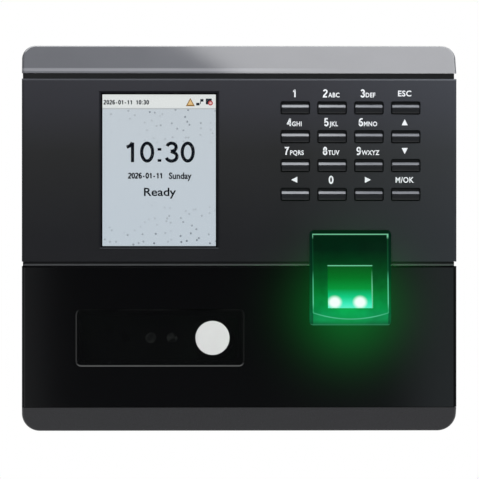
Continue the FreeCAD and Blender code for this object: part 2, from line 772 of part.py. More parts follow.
rear = newBody("rear_cover")
rearHalfHeight = halfHeight - rearSetback
pad(rear, "rear_block", rearSetback, parting - seam, [casingOutline(rearSetback)])
ease(rear, "rear_edges", "Fillet", rearEdge, lambda edge: liesAt(edge, y=-rearSetback))
cut(rear, "rear_hollow", floorFront, parting, [casingOutline(rearSetback + wall)])
pad(rear, "case_posts_rear", floorFront - floorWall / 2, parting - seam,
    [disc(x, z, postRadius) for x, z in casePosts])
cut(rear, "plate_recess", 0, floorBack, [box(0, 0, plateWidth + 2 * recessGap, plateHeight + 2 * recessGap,
                                             plateRadius + recessGap)])
headDepth = floorBack + caseHeadHeight + screwGap
cut(rear, "case_screw_holes", 0, parting + clear,
    [disc(x, z, caseScrewRadius + screwGap) for x, z in casePosts])
cut(rear, "case_head_seats", 0, headDepth, [disc(x, z, caseHeadRadius + screwGap) for x, z in casePosts])
plateWindowLow = plateWindowLevel - plateWindowHeight / 2
plateWindowHigh = plateWindowLevel + plateWindowHeight / 2
bayHigh = plateWindowHigh + bayRise
cut(rear, "cable_bay", 0, floorFront + clear,
    [span(bayX - bayWidth / 2, bayX + bayWidth / 2, plateWindowLow - bayRise, bayHigh, bayRise / 2)])
hooks = [(side * hookX, level * hookLevel) for side in (-1, 1) for level in (-1, 1)]
slotHigh = hookSeat
slotLow = -plateThickness - hookReach - clear
cut(rear, "hook_slots", 0, floorFront + clear,
    [span(x - hookWidth / 2 - clear, x + hookWidth / 2 + clear, z + slotLow, z + slotHigh) for x, z in hooks])
wallScrews = [(side * wallScrewX, level * wallScrewLevel) for side in (-1, 1) for level in (-1, 1)]
cut(rear, "wall_head_holes", 0, floorFront + clear,
    [disc(x, z, wallScrewRadius + wallHeadRoom) for x, z in wallScrews])
tabLow = -plateHeight / 2 + tabInset
cut(rear, "tab_slot", 0, floorFront + clear,
    [span(-tabWidth / 2 - recessGap, tabWidth / 2 + recessGap, -rearHalfHeight + wall,
          tabLow + plateThickness + recessGap)])
cut(rear, "tamper_hole", 0, floorFront + clear, [disc(tamperX, tamperLevel, tamperRadius + tamperGap)])
lockDepth = plateThickness + lockSeat
cut(rear, "lock_hole", -rearHalfHeight - clear, -rearHalfHeight + wall + clear,
    [disc(0, -lockDepth, lockRadius + screwGap)], "XY_Plane")
cut(rear, "lock_head_seat", -rearHalfHeight - clear, -rearHalfHeight + wall / 2,
    [disc(0, -lockDepth, lockHead + screwGap)], "XY_Plane")
usbBack = mainDepth - usbThickness
cut(rear, "usb_opening", -rearHalfHeight - clear, -rearHalfHeight + wall + clear,
    [span(usbX - usbWidth / 2, usbX + usbWidth / 2, -parting, -usbBack)], "XY_Plane")
slotCount = 8
speakerSlot = cut(rear, "speaker_slot", -rearHalfHeight - clear, -rearHalfHeight + wall + clear,
                  [box(speakerX - slotPitch * (slotCount - 1) / 2, -floorFront - speakerDepth / 2, slotWidth,
                       speakerDepth - 2 * clear, slotRadius)], "XY_Plane")
doc.recompute()
repeat(rear, "speaker_slots", speakerSlot, slotPitch, slotCount)


# Wall plate and fasteners

plate = newBody("wall_plate")
pad(plate, "plate_sheet", 0, plateThickness, [box(0, 0, plateWidth, plateHeight, plateRadius)])
cut(plate, "plate_window", -clear, plateThickness + clear,
    [box(plateWindowX, plateWindowLevel, plateWindowWidth, plateWindowHeight, plateRadius)])
cut(plate, "wall_screw_holes", -clear, plateThickness + clear,
    [disc(x, z, wallScrewRadius) for x, z in wallScrews])
hookTip = floorFront + plateGap + plateThickness
for number, (x, z) in enumerate(hooks, 1):
    pad(plate, f"hook_{number}", x - hookWidth / 2, x + hookWidth / 2, [loop([
        (0, z - plateThickness), (0, z), (-floorFront - plateGap, z), (-floorFront - plateGap, z + hookReach),
        (-hookTip, z + hookReach), (-hookTip, z - plateThickness)])], "YZ_Plane")
pad(plate, "lock_tab", -tabWidth / 2, tabWidth / 2, [loop([
    (0, tabLow), (0, tabLow + plateThickness), (-plateThickness - tabReach, tabLow + plateThickness),
    (-plateThickness - tabReach, tabLow)])], "YZ_Plane")
cut(plate, "lock_thread", tabLow - clear, tabLow + plateThickness + clear,
    [disc(0, -lockDepth, lockRadius + threadGap)], "XY_Plane")

lockHeadTop = -rearHalfHeight + wall / 2
lockShank = post("lock_shank", 0, lockDepth, lockRadius, lockHeadTop, lockHeadTop + lockLength)
lockCap = post("lock_cap", 0, lockDepth, lockHead, lockHeadTop - wall / 2 + seam, lockHeadTop)
lockSocket = post("lock_drive", 0, lockDepth, lockDrive, lockHeadTop - wall, lockHeadTop - seam)
lockScrew = less("security_screw", fuse("lock_body", [lockShank, lockCap]), lockSocket)
lockScrew.Label = "security_screw"


def screwsAt(name, places, headBack, headFront, tip):
    # A group of pan head screws driven from behind.
    screws = []
    for number, (x, z) in enumerate(places, 1):
        head = peg(f"{name}_{number}_head", x, z, caseHeadRadius, headBack, headFront)
        shank = peg(f"{name}_{number}_shank", x, z, caseScrewRadius, headFront, tip)
        socketEnd = headBack + caseDriveDepth
        drive = peg(f"{name}_{number}_drive", x, z, caseDriveRadius, headBack - clear, socketEnd)
        screws.append(less(f"{name}_{number}", fuse(f"{name}_{number}_body", [head, shank]), drive))
    return group(name, screws)


screwsAt("case_screws", casePosts, headDepth - caseHeadHeight, headDepth, headDepth + caseScrewLength)


# Display

frontOfWindow = depth - windowSink
window = newBody("display_window")
pad(window, "window_plate", frameFront, frontOfWindow, [box(screenX, screenLevel, windowWidth, windowHeight)])
gasketFront = frameFront - lipThickness
lcdFront = gasketFront - gasketThickness
lcdBack = lcdFront - lcdThickness
gasket = newBody("display_gasket")
pad(gasket, "gasket_ring", lcdFront, gasketFront, [span(lcdLeft, lcdRight, lcdBottom, lcdTop),
                                                   box(screenX, screenLevel, screenWidth, screenHeight)])
lcd = newBody("lcd_panel")
pad(lcd, "lcd_block", lcdBack, lcdFront, [span(lcdLeft, lcdRight, lcdBottom, lcdTop)])
cradle = newBody("lcd_frame")
cradleOut = cradleWall + windowGap
pad(cradle, "cradle_block", lcdBack - cradleWall, frameBack,
    [span(lcdLeft - cradleOut, lcdRight + cradleOut, lcdBottom - cradleOut, lcdTop + cradleOut, cradleWall)])
cut(cradle, "cradle_hollow", lcdBack, frameBack + clear,
    [span(lcdLeft - windowGap, lcdRight + windowGap, lcdBottom - windowGap, lcdTop + windowGap)])


# Keypad

flangeFront = skinInside - keyFlangeGap
flangeBack = flangeFront - keyFlangeThickness
matBack = frameBack - matThickness
keyStemEnd = matBack + keyTravel + keyFlangeGap


def keyCap(name, x, z):
    # A cap with a sunk shoulder, a bevel that faces up and a long lower face, its flange behind the cover.
    body = newBody(name)
    half = keyHoleHeight / 2 - keyGap
    side = keyHoleWidth / 2 - keyGap
    crest = depth + keyRise
    shelf = depth - keySink
    bevelTop = half - keyShoulder
    bevelBottom = bevelTop - keyBevel
    pad(body, name + "_cap", -side, side, [loop([
        (-flangeBack, -half), (-flangeBack, half), (-shelf, half), (-shelf, bevelTop), (-crest, bevelBottom),
        (-crest + keyRise / 4, -half + keyRise / 2), (-depth + keyRise / 4, -half)])], "YZ_Plane")
    ease(body, name + "_sides", "Chamfer", keyFlangeGap * 2,
         lambda edge: liesAt(edge, x=side) and max(v.Y for v in edge.Vertexes) < float(keyFlangeGap - depth))
    pad(body, name + "_flange", flangeBack, flangeFront, [box(0, 0, flangeWidth, flangeHeight)])
    pad(body, name + "_stem", keyStemEnd, flangeBack, [box(0, 0, keyStemWidth, keyStemHeight)])
    place(body, x, 0, z)


keyPlaces = []
for row, names in enumerate(keyRows):
    for column, name in enumerate(names):
        keyPlaces.append((firstKeyX + column * keyPitchX, firstKeyLevel + row * keyPitchZ))
        keyCap(name, *keyPlaces[-1])

mat = newBody("keypad_mat")
matWidth = keySpanX + keyHoleWidth + 2 * matMargin
matHeight = keySpanZ + keyHoleHeight + 2 * matMargin
pad(mat, "mat_sheet", matBack, frameBack, [box(keypadX, keypadLevel, matWidth, matHeight, matMargin / 2)])
matHole = cut(mat, "mat_hole", matBack - clear, frameBack + clear,
              [box(firstKeyX, firstKeyLevel, keyStemWidth + 2 * keyGap, keyStemHeight + 2 * keyGap)])
doc.recompute()
repeat(mat, "mat_holes", matHole, keyPitchX, columnCount, keyPitchZ, rowCount)
keyBoard = newBody("keypad_board")
pad(keyBoard, "key_board_sheet", matBack - boardThickness, matBack,
    [box(keypadX, keypadLevel, matWidth + matMargin, matHeight + matMargin, matMargin / 2)])


# Fingerprint reader: a wedge that leans out towards its foot, with a concave trough for the finger

bezel = newBody("sensor_bezel")
bezelBack = depth - troughTopSink - bezelFloor
footFront = depth + sensorProud
lipFront = footFront - lipSlope
lipLevel = sensorBottom + lipHeight
sensorLeft = sensorX - sensorWidth / 2
sensorRight = sensorX + sensorWidth / 2
pad(bezel, "bezel_wedge", sensorLeft, sensorRight, [loop([
    (-bezelBack, sensorBottom), (-bezelBack, sensorTop), (-depth - sensorTopProud, sensorTop),
    (-footFront, lipLevel), (-lipFront, sensorBottom)])], "YZ_Plane")
ease(bezel, "bezel_corners", "Fillet", sensorRadius,
     lambda edge: near(edge.Vertexes[0].Z, edge.Vertexes[-1].Z)
     and near(edge.Vertexes[0].X, edge.Vertexes[-1].X))
troughHalf = sensorWidth / 2 - sensorRim
troughTop = sensorTop - troughEnd
troughBottom = sensorBottom - clear / 10


def troughSection(name, level, deepest, sag):
    radius = (troughHalf * troughHalf + sag * sag) / (2 * sag)
    far = footFront + 2 * clear
    rim = deepest + sag
    left = sensorX - troughHalf
    right = sensorX + troughHalf
    return sketchOn(bezel, name, "XY_Plane", level, [loop([
        (left, -rim, radius), (left, -far), (right, -far), (right, -rim)])])


trough = bezel.newObject("PartDesign::SubtractiveLoft", "trough")
trough.Profile = troughSection("trough_top", troughTop, depth - troughTopSink, troughTopSag)
trough.Sections = [troughSection("trough_foot", troughBottom, footFront, troughSag)]
trough.Ruled = True


def isTroughRim(edge):
    # The line where the trough meets the front of the bezel, from its top corners down to the lip.
    return all(abs(vertex.X - float(sensorX)) < float(troughHalf + clear / 10) and vertex.Y < -float(depth)
               and float(lipLevel - clear / 10) < vertex.Z < float(troughTop + clear / 10)
               for vertex in edge.Vertexes)


ease(bezel, "trough_rim", "Fillet", rimRadius, isTroughRim)
glassLeft = sensorX - glassWidth / 2
glassRight = sensorX + glassWidth / 2
glassBottom = glassTop - glassHeight
cut(bezel, "glass_opening", bezelBack - clear, footFront + clear,
    [span(glassLeft - glassGap, glassRight + glassGap, glassBottom - glassGap, glassTop + glassGap)])
pad(bezel, "bezel_flange", frameBack - flangeThickness, frameBack, [
    span(sensorLeft - flangeMargin, sensorRight + flangeMargin, sensorBottom - flangeMargin,
         sensorTop + flangeMargin, sensorRadius),
    span(sensorLeft + sensorRim, sensorRight - sensorRim, sensorBottom + sensorRim, sensorTop - sensorRim)])


def troughDepth(level):
    # Depth of the trough's centre line at a level.
    share = (troughTop - level) / (troughTop - troughBottom)
    return depth - troughTopSink + share * (troughTopSink + sensorProud)


prism = newBody("sensor_prism")
pad(prism, "prism_block", glassLeft, glassRight, [loop([
    (-troughDepth(glassBottom) + glassThickness, glassBottom),
    (-troughDepth(glassTop) + glassThickness, glassTop),
    (-troughDepth(glassTop), glassTop), (-troughDepth(glassBottom), glassBottom)])], "YZ_Plane")
ease(prism, "prism_edges", "Chamfer", glassChamfer,
     lambda edge: all(near(-vertex.Y, troughDepth(vertex.Z)) for vertex in edge.Vertexes))
housing = newBody("sensor_housing")
housingBack = bezelBack - housingDepth
housingOut = glassWidth / 2 + 2 * housingWall
pad(housing, "housing_ring", housingBack, bezelBack, [
    span(sensorX - housingOut, sensorX + housingOut, glassBottom - 2 * housingWall,
         glassTop + 2 * housingWall, housingWall),
    span(sensorX - housingOut + housingWall, sensorX + housingOut - housingWall, glassBottom - housingWall,
         glassTop + housingWall)])
readerBoard = newBody("sensor_board")
pad(readerBoard, "reader_sheet", housingBack - boardThickness, housingBack,
    [span(sensorLeft, sensorRight, sensorBottom, sensorTop, sensorRadius)])


def readerLedAt(side, row):
    x = sensorX + side * glassWidth / 4
    level = glassBottom + readerLedInset + row * glassHeight / 2
    return brick(f"reader_led_{side}_{row}", x - readerLed / 2, x + readerLed / 2, level, level + readerLed,
                 housingBack, housingBack + boardThickness)


group("sensor_leds", [readerLedAt(side, row) for side in (-1, 1) for row in (0, 1)])


# Camera window, lamp and what looks through it

cameraGlass = newBody("camera_window")
lampX = cameraX + cameraWidth / 2 - lampInset
cameraGlassFront = depth - cameraSink
pad(cameraGlass, "camera_plate", frameFront, cameraGlassFront,
    [box(cameraX, cameraLevel, cameraWidth - 2 * windowGap, cameraHeight - 2 * windowGap,
         cameraRadius - windowGap)])
ease(cameraGlass, "camera_plate_edge", "Chamfer", windowSink, lambda edge: liesAt(edge, y=-cameraGlassFront))
cut(cameraGlass, "lamp_hole", frameFront - clear, depth + clear,
    [disc(lampX, cameraLevel, lampRadius + windowGap)])
lamp = newBody("lamp_diffuser")
lampBack = frameFront - clear
pad(lamp, "lamp_disc", lampBack, cameraGlassFront + windowSink / 2, [disc(lampX, cameraLevel, lampRadius)])
ease(lamp, "lamp_edge", "Fillet", windowSink, lambda edge: liesAt(edge, y=-cameraGlassFront - windowSink / 2))
pad(lamp, "lamp_collar", lampBack, frameFront, [disc(lampX, cameraLevel, lampRadius + lampFlange)])

cameraBoard = newBody("camera_board")
pad(cameraBoard, "camera_sheet", cameraBoardDepth, cameraFront,
    [box(cameraX, cameraLevel, cameraBoardWidth, cameraHeight, cameraRadius)])
lensFront = frameFront - windowSink


def cameraModule(name, x):
    body = newBody(name)
    pad(body, name + "_base", cameraFront, frameBack - clear, [box(x, cameraLevel, lensBase, lensBase)])
    pad(body, name + "_barrel", frameBack - clear, lensFront, [disc(x, cameraLevel, lensRadius)])
    cut(body, name + "_mouth", lensFront - clear, lensFront + clear, [disc(x, cameraLevel, lensMouth)])
    lensBack = lensFront - clear
    return peg(name + "_lens", x, cameraLevel, lensGlass, lensBack, lensBack + lensGlassThickness)


visibleX = cameraX + lensOffset
infraredCameraX = visibleX + lensSpacing
group("camera_lenses", [cameraModule("camera_visible", visibleX),
                        cameraModule("camera_infrared", infraredCameraX)])
infraredX = cameraX + infraredOffset
ringCount = 6
ringTurns = [2 * math.pi * number / ringCount for number in range(ringCount)]
ledRing = [(infraredX + infraredRing * math.cos(turn), cameraLevel + infraredRing * math.sin(turn))
           for turn in ringTurns]
group("infrared_leds", [peg(f"infrared_led_{number}", x, z, infraredLed, cameraFront, frameBack)
                        for number, (x, z) in enumerate(ledRing, 1)])


def lampLedAt(across, up):
    x = lampX + across * lampLedOffset
    level = cameraLevel + up * lampLedOffset
    return brick(f"lamp_led_{across}_{up}", x - lampLed / 2, x + lampLed / 2, level - lampLed / 2,
                 level + lampLed / 2, cameraFront, cameraFront + clear)


group("lamp_leds", [lampLedAt(across, up) for across in (-1, 1) for up in (-1, 1)])


# Main board, connectors, speaker and tamper switch

mainBoard = newBody("main_board")
pad(mainBoard, "main_sheet", mainDepth, mainFront, [span(mainLeft, mainRight, mainLow, mainHigh, clear)])
cut(mainBoard, "main_holes", mainDepth - clear, mainFront + clear,
    [disc(x, z, caseScrewRadius + screwGap) for x, z in mainPosts])
screwsAt("board_screws", mainPosts, mainDepth - caseHeadHeight, mainDepth, mainFront + boardScrewReach)
chipTop = mainHigh - processorDrop
processorX = mainX + processorOffset


def chip(name, left, high, across, tall, thickness):
    return brick(name, left, left + across, high - tall, high, mainDepth - thickness, mainDepth)


chipRight = processorX + processorSize / 2 + chipGap
chipLeft = processorX - processorSize / 2 - chipGap
group("board_chips", [
    chip("chip_processor", chipLeft + chipGap, chipTop, processorSize, processorSize, chipThickness),
    chip("chip_memory", chipRight, chipTop, memoryWidth, memoryHeight, chipThickness),
    chip("chip_flash", chipLeft - memoryWidth, chipTop, memoryWidth, memoryHeight, chipThickness),
    chip("chip_coil", chipRight, chipTop - processorSize - chipGap, coilSize, coilSize, coilThickness)])
cellLevel = mainHigh - clockCellDrop
clockCell = peg("clock_cell", mainX - mainWidth / 4, cellLevel, clockCellRadius,
                mainDepth - clockCellThickness, mainDepth)
clockCell.Label = "clock_cell"

socketHigh = bayHigh - clear
socketLow = socketHigh - socketHeight
terminalCount = 6
jackRight = mainRight - jackInset
jackLeft = jackRight - jackWidth
terminalRight = jackLeft - connectorGap
terminalLeft = terminalRight - terminalCount * terminalPitch
networkRight = terminalLeft - connectorGap
networkLeft = networkRight - socketWidth
network = newBody("network_socket")
pad(network, "network_shell", mainDepth - socketDepth, mainDepth,
    [span(networkLeft, networkRight, socketLow, socketHigh)])
cut(network, "network_mouth", socketLow - clear, socketHigh - socketBase,
    [span(networkLeft + socketWall, networkRight - socketWall, -mainDepth + socketBase,
          -mainDepth + socketDepth - socketWall)], "XY_Plane")
terminals = newBody("terminal_connectors")
terminalLow = socketLow + terminalRise
pad(terminals, "terminal_block", mainDepth - terminalDepth, mainDepth,
    [span(terminalLeft, terminalRight, terminalLow, socketHigh)])
terminalMouth = cut(terminals, "terminal_mouth", terminalLow - clear, terminalLow + terminalMouthHeight,
                    [span(terminalLeft + terminalWall, terminalLeft + terminalPitch - terminalWall,
                          -mainDepth + socketWall, -mainDepth + socketWall + terminalMouthDepth)], "XY_Plane")
doc.recompute()
repeat(terminals, "terminal_mouths", terminalMouth, terminalPitch, terminalCount)
jack = newBody("power_jack")
jackX = (jackLeft + jackRight) / 2
jackAxis = mainDepth - jackDepth / 2
pad(jack, "jack_block", mainDepth - jackDepth, mainDepth, [span(jackLeft, jackRight, socketLow, socketHigh)])
cut(jack, "jack_mouth", socketLow - clear, socketHigh - socketBase,
    [disc(jackX, -jackAxis, jackBore)], "XY_Plane")
pad(jack, "jack_pin", socketLow + clear, socketHigh - socketWall,
    [disc(jackX, -jackAxis, jackPin)], "XY_Plane")

usb = newBody("usb_socket")
usbMiddle = -(usbBack + mainDepth) / 2
pad(usb, "usb_shell", usbLow, usbLow + usbLength, [box(usbX, usbMiddle, usbWidth, usbThickness)], "XY_Plane")
cut(usb, "usb_mouth", usbLow - clear, usbLow + usbLength - 2 * clear,
    [box(usbX, usbMiddle, usbWidth - 2 * usbWall, usbThickness - 2 * usbWall)], "XY_Plane")
usbTongueBack = -mainDepth + usbWall + usbTongueGap
pad(usb, "usb_tongue", usbLow + clear, usbLow + usbLength - clear,
    [span(usbX - usbWidth / 2 + 2 * usbWall, usbX + usbWidth / 2 - 2 * usbWall, usbTongueBack,
          usbTongueBack + usbTongue)], "XY_Plane")

speakerLow = -rearHalfHeight + wall
speaker = brick("speaker", speakerX - speakerWidth / 2, speakerX + speakerWidth / 2, speakerLow,
                speakerLow + speakerHeight, floorFront, floorFront + speakerDepth)
speaker.Label = "speaker"

switchBack = floorFront + 2 * clear
switch = newBody("tamper_switch")
pad(switch, "switch_body", switchBack, mainDepth,
    [box(tamperX, tamperLevel, 4 * tamperRadius, 4 * tamperRadius)])
cut(switch, "switch_bore", switchBack - clear, mainDepth - 2 * clear,
    [disc(tamperX, tamperLevel, tamperRadius + screwGap)])
plunger = newBody("tamper_plunger")
plungerTip = plateThickness + tamperGap / 3
pad(plunger, "plunger_stem", plungerTip, mainDepth - 4 * clear, [disc(tamperX, tamperLevel, tamperRadius)])
ease(plunger, "plunger_tip", "Fillet", tamperRadius / 2, lambda edge: liesAt(edge, y=-plungerTip))


# Build, check and write

doc.recompute()
nodes = [thing for thing in doc.Objects
         if not thing.InList and hasattr(thing, "Shape") and thing.Name != "sizes"]
for thing in doc.Objects:
    if "Invalid" in thing.State or "Error" in thing.State:
        raise RuntimeError(f"{thing.Label} failed: {thing.State}")
for pocket in cuts:
    before = pocket.BaseFeature.Shape.Volume
    if not pocket.Shape.Volume < before - 1e-3:
        raise RuntimeError(f"{pocket.Name} cuts nothing")
for node in nodes:
    if node.Shape.isNull() or not node.Shape.isValid() or node.Shape.Volume <= 0:
        raise RuntimeError(f"{node.Label} has no valid shape")
if len(nodes) > 60:
    raise RuntimeError("too many nodes")
os.makedirs("parts", exist_ok=True)
for node in nodes:
    node.Shape.exportStep(f"parts/{node.Label}.step")
    bounds = node.Shape.BoundBox
    print(f"{node.Label:20s} solids {len(node.Shape.Solids)} volume {node.Shape.Volume:10.1f}"
          f"  x {bounds.XMin:7.2f} {bounds.XMax:7.2f}  y {bounds.YMin:7.2f} {bounds.YMax:7.2f}"
          f"  z {bounds.ZMin:7.2f} {bounds.ZMax:7.2f}")
print(len(nodes), "nodes")
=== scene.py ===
from math import cos, pi, radians, sin

import bmesh
import bpy
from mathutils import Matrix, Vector


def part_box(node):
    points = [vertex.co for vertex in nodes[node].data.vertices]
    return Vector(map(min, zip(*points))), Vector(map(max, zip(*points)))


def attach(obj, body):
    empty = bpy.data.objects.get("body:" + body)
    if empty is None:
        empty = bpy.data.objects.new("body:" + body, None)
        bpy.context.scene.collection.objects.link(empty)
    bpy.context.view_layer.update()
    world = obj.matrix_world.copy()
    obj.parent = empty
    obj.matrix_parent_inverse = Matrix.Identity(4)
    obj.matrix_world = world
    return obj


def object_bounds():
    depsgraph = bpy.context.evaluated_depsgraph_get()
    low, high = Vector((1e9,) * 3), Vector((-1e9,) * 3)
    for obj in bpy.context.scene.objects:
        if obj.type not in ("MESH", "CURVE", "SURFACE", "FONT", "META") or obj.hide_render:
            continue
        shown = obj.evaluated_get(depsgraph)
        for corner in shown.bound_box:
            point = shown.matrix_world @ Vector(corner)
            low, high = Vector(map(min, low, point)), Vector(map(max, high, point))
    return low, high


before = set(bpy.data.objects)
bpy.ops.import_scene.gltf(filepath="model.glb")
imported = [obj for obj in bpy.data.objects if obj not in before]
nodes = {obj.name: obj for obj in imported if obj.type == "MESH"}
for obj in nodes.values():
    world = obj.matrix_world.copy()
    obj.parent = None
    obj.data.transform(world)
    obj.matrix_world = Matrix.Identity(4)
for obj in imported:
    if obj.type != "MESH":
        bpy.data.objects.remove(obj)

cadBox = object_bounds()
scene = bpy.context.scene
mm = 0.001


def toLinear(hexColour):
    channels = [int(hexColour[i:i + 2], 16) / 255 for i in (1, 3, 5)]
    return [c / 12.92 if c <= 0.04045 else ((c + 0.055) / 1.055) ** 2.4 for c in channels] + [1.0]


def connect(tree, node, inputs):  # a socket is linked, anything else is set on the node's own socket
    for name, value in inputs.items():
        if isinstance(value, bpy.types.NodeSocket):
            tree.links.new(value, node.inputs[name])
        else:
            node.inputs[name].default_value = value


def addNode(tree, kind, inputs=None, **settings):
    node = tree.nodes.new("ShaderNode" + kind)
    for name, value in settings.items():
        setattr(node, name, value)
    connect(tree, node, inputs or {})
    return node


def emptyMaterial(name):
    material = bpy.data.materials.new(name)
    material.use_nodes = True
    material.node_tree.nodes.clear()
    return material, material.node_tree


def newMaterial(name):
    material, tree = emptyMaterial(name)
    shader = addNode(tree, "BsdfPrincipled")
    addNode(tree, "OutputMaterial", {"Surface": shader.outputs["BSDF"]})
    place = addNode(tree, "TexCoord").outputs["Object"]
    return material, tree, shader, place


def blendStops(tree, factor, stops):  # stops: (place from 0 to 1, colour)
    ramp = addNode(tree, "ValToRGB", {"Fac": factor})
    points = ramp.color_ramp.elements
    while len(points) < len(stops):
        points.new(0.5)
    for point, (where, colour) in zip(points, stops):
        point.position = where
        point.color = toLinear(colour)
    return ramp.outputs["Color"]


def between(tree, value, low, high):  # low..high becomes 0..1
    return addNode(tree, "MapRange", {"Value": value, "From Min": low, "From Max": high}).outputs["Result"]


def combine(tree, operation, first, *others):  # a run of sums on two or more values
    for other in others:
        first = addNode(tree, "Math", {0: first, 1: other}, operation=operation).outputs[0]
    return first


def onLine(tree, value, where, width):  # 1 on a line of this width, 0 off it
    far = combine(tree, "ABSOLUTE", combine(tree, "SUBTRACT", value, where), 0)
    return addNode(tree, "MapRange", {"Value": far, "From Min": width * 0.75, "From Max": width * 0.3},
                   interpolation_type="SMOOTHSTEP").outputs["Result"]


colourMix = {"data_type": "RGBA"}
colourSum = {"data_type": "RGBA", "blend_type": "ADD"}
black = (0, 0, 0, 1)


def bell(tree, place, look):  # a soft round patch in the XZ plane: its peak in the middle, fading with "reach"
    x, z = look["middle"]
    flat = addNode(tree, "VectorMath", {0: place, 1: (1, 0, 1)}, operation="MULTIPLY").outputs[0]
    away = addNode(tree, "VectorMath", {0: flat, 1: (x * mm, 0, z * mm)}, operation="DISTANCE").outputs["Value"]
    share = combine(tree, "DIVIDE", away, look["reach"] * mm)
    falling = combine(tree, "MULTIPLY", share, share, -1.0)
    fade = addNode(tree, "Math", {0: falling}, operation="EXPONENT").outputs[0]
    return combine(tree, "MULTIPLY", fade, look["peak"])


# green light that the reader throws on the covers round it, fading out within some 40 mm
spillLook = {"middle": (42.7, -27.0), "reach": 18.0, "colour": "#08C84A", "peak": 0.17}

def addSpill(tree, shader, place):
    share = bell(tree, place, spillLook)
    glow = addNode(tree, "Mix", {"Factor": share, "A": black, "B": toLinear(spillLook["colour"])}, **colourMix)
    connect(tree, shader, {"Emission Color": glow.outputs["Result"], "Emission Strength": 1.0})


def addPaintedSheen(tree, colour, place, paintedSheen):
    # painted light: colour is added towards the top and towards the right, for the overhead and the side light that
    # the texture scatters
    axes = addNode(tree, "SeparateXYZ", {"Vector": place}).outputs
    up = blendStops(tree, between(tree, axes["Z"], paintedSheen["low"] * mm, paintedSheen["high"] * mm), paintedSheen["up"])
    toRight = between(tree, axes["X"], paintedSheen["start"] * mm, paintedSheen["end"] * mm)
    for more in (up, blendStops(tree, toRight, [(0, "#000000"), (1, paintedSheen["aside"])])):
        colour = addNode(tree, "Mix", {"Factor": 1.0, "A": colour, "B": more}, **colourSum).outputs["Result"]
    return colour


def addPaintedRim(tree, colour, place, rim):
    # a painted highlight: a soft, paler line along a rounded edge at this level, fading out from "start" to "end"
    axes = addNode(tree, "SeparateXYZ", {"Vector": place}).outputs
    share = combine(tree, "MULTIPLY", onLine(tree, axes["Z"], rim["level"] * mm, rim["width"] * mm),
                    between(tree, axes["X"], rim["end"] * mm, rim["start"] * mm))
    more = addNode(tree, "Mix", {"Factor": share, "A": black, "B": toLinear(rim["colour"])}, **colourMix)
    total = addNode(tree, "Mix", {"Factor": 1.0, "A": colour, "B": more.outputs["Result"]}, **colourSum)
    return total.outputs["Result"]


def shadedSpecular(tree, place, look):
    # less light is mirrored on a lip above the level "dull", and in the shaded part of a groove
    height = addNode(tree, "SeparateXYZ", {"Vector": place}).outputs["Z"]
    if look.get("dull"):
        hidden, least = between(tree, height, look["dull"] * mm, (look["dull"] + 0.1) * mm), 0.06
    else:
        low, high = look["shade"]
        hidden = combine(tree, "MULTIPLY", between(tree, height, (low - 0.3) * mm, low * mm),
                         between(tree, height, (high + 0.3) * mm, high * mm))
        least = 0.12
    return addNode(tree, "MapRange", {"Value": hidden, "To Min": 0.5, "To Max": least}).outputs["Result"]


def finish(name, look):
    # one moulded, painted or plated skin: a colour that drifts a little, a fine grain and a soft bump
    material, tree, shader, place = newMaterial(name)
    size = look["grainSize"] * mm
    drift = addNode(tree, "TexNoise", {"Vector": place, "Scale": 1 / (18 * mm), "Detail": 3}).outputs["Fac"]
    grain = addNode(tree, "TexNoise", {"Vector": place, "Scale": 1 / size, "Detail": 4}).outputs["Fac"]
    colour = addNode(tree, "Mix", {"Factor": drift, "A": toLinear(look["dark"]), "B": toLinear(look["light"])},
                     **colourMix).outputs["Result"]
    if look.get("paintedSheen"):
        colour = addPaintedSheen(tree, colour, place, look["paintedSheen"])
    if look.get("rim"):
        colour = addPaintedRim(tree, colour, place, look["rim"])
    low, high = look["roughness"]
    rough = addNode(tree, "MapRange", {"Value": grain, "To Min": low, "To Max": high}).outputs["Result"]
    connect(tree, shader, {"Base Color": colour, "Roughness": rough, "Metallic": look.get("metallic", 0),
                           "Specular IOR Level": look.get("specular", 0.5), "Coat Weight": look.get("coat", 0),
                           "Coat Roughness": 0.06})
    if look.get("dull") or look.get("shade"):
        connect(tree, shader, {"Specular IOR Level": shadedSpecular(tree, place, look)})
    if look.get("bump"):
        bump = addNode(tree, "Bump", {"Height": grain, "Strength": look["bump"], "Distance": size * 0.3})
        connect(tree, shader, {"Normal": bump.outputs["Normal"]})
    if look.get("spill"):
        addSpill(tree, shader, place)
    if look.get("glint"):  # room light gathered in the lens, mottled by its coating
        mottle = addNode(tree, "TexNoise", {"Vector": place, "Scale": 1 / (1.5 * mm), "Detail": 1})
        glint = blendStops(tree, mottle.outputs["Fac"], [(0.38, "#0A0B0A"), (0.62, look["glint"])])
        connect(tree, shader, {"Emission Color": glint, "Emission Strength": 0.8})
    return material


def dress(nodeName, material):
    for holder in nodes[nodeName].material_slots:
        holder.material = material


def addPiece(name, mesh, material, body):
    piece = bpy.data.objects.new(name, mesh)
    scene.collection.objects.link(piece)
    mesh.materials.clear()
    mesh.materials.append(material)
    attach(piece, body)
    return piece


def centreOf(nodeName):
    low, high = (Vector(corner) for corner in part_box(nodeName))
    return (low + high) / 2


# painted and moulded skins, sizes in mm: real grains are finer than 0.2 mm, and are drawn coarser so that they show

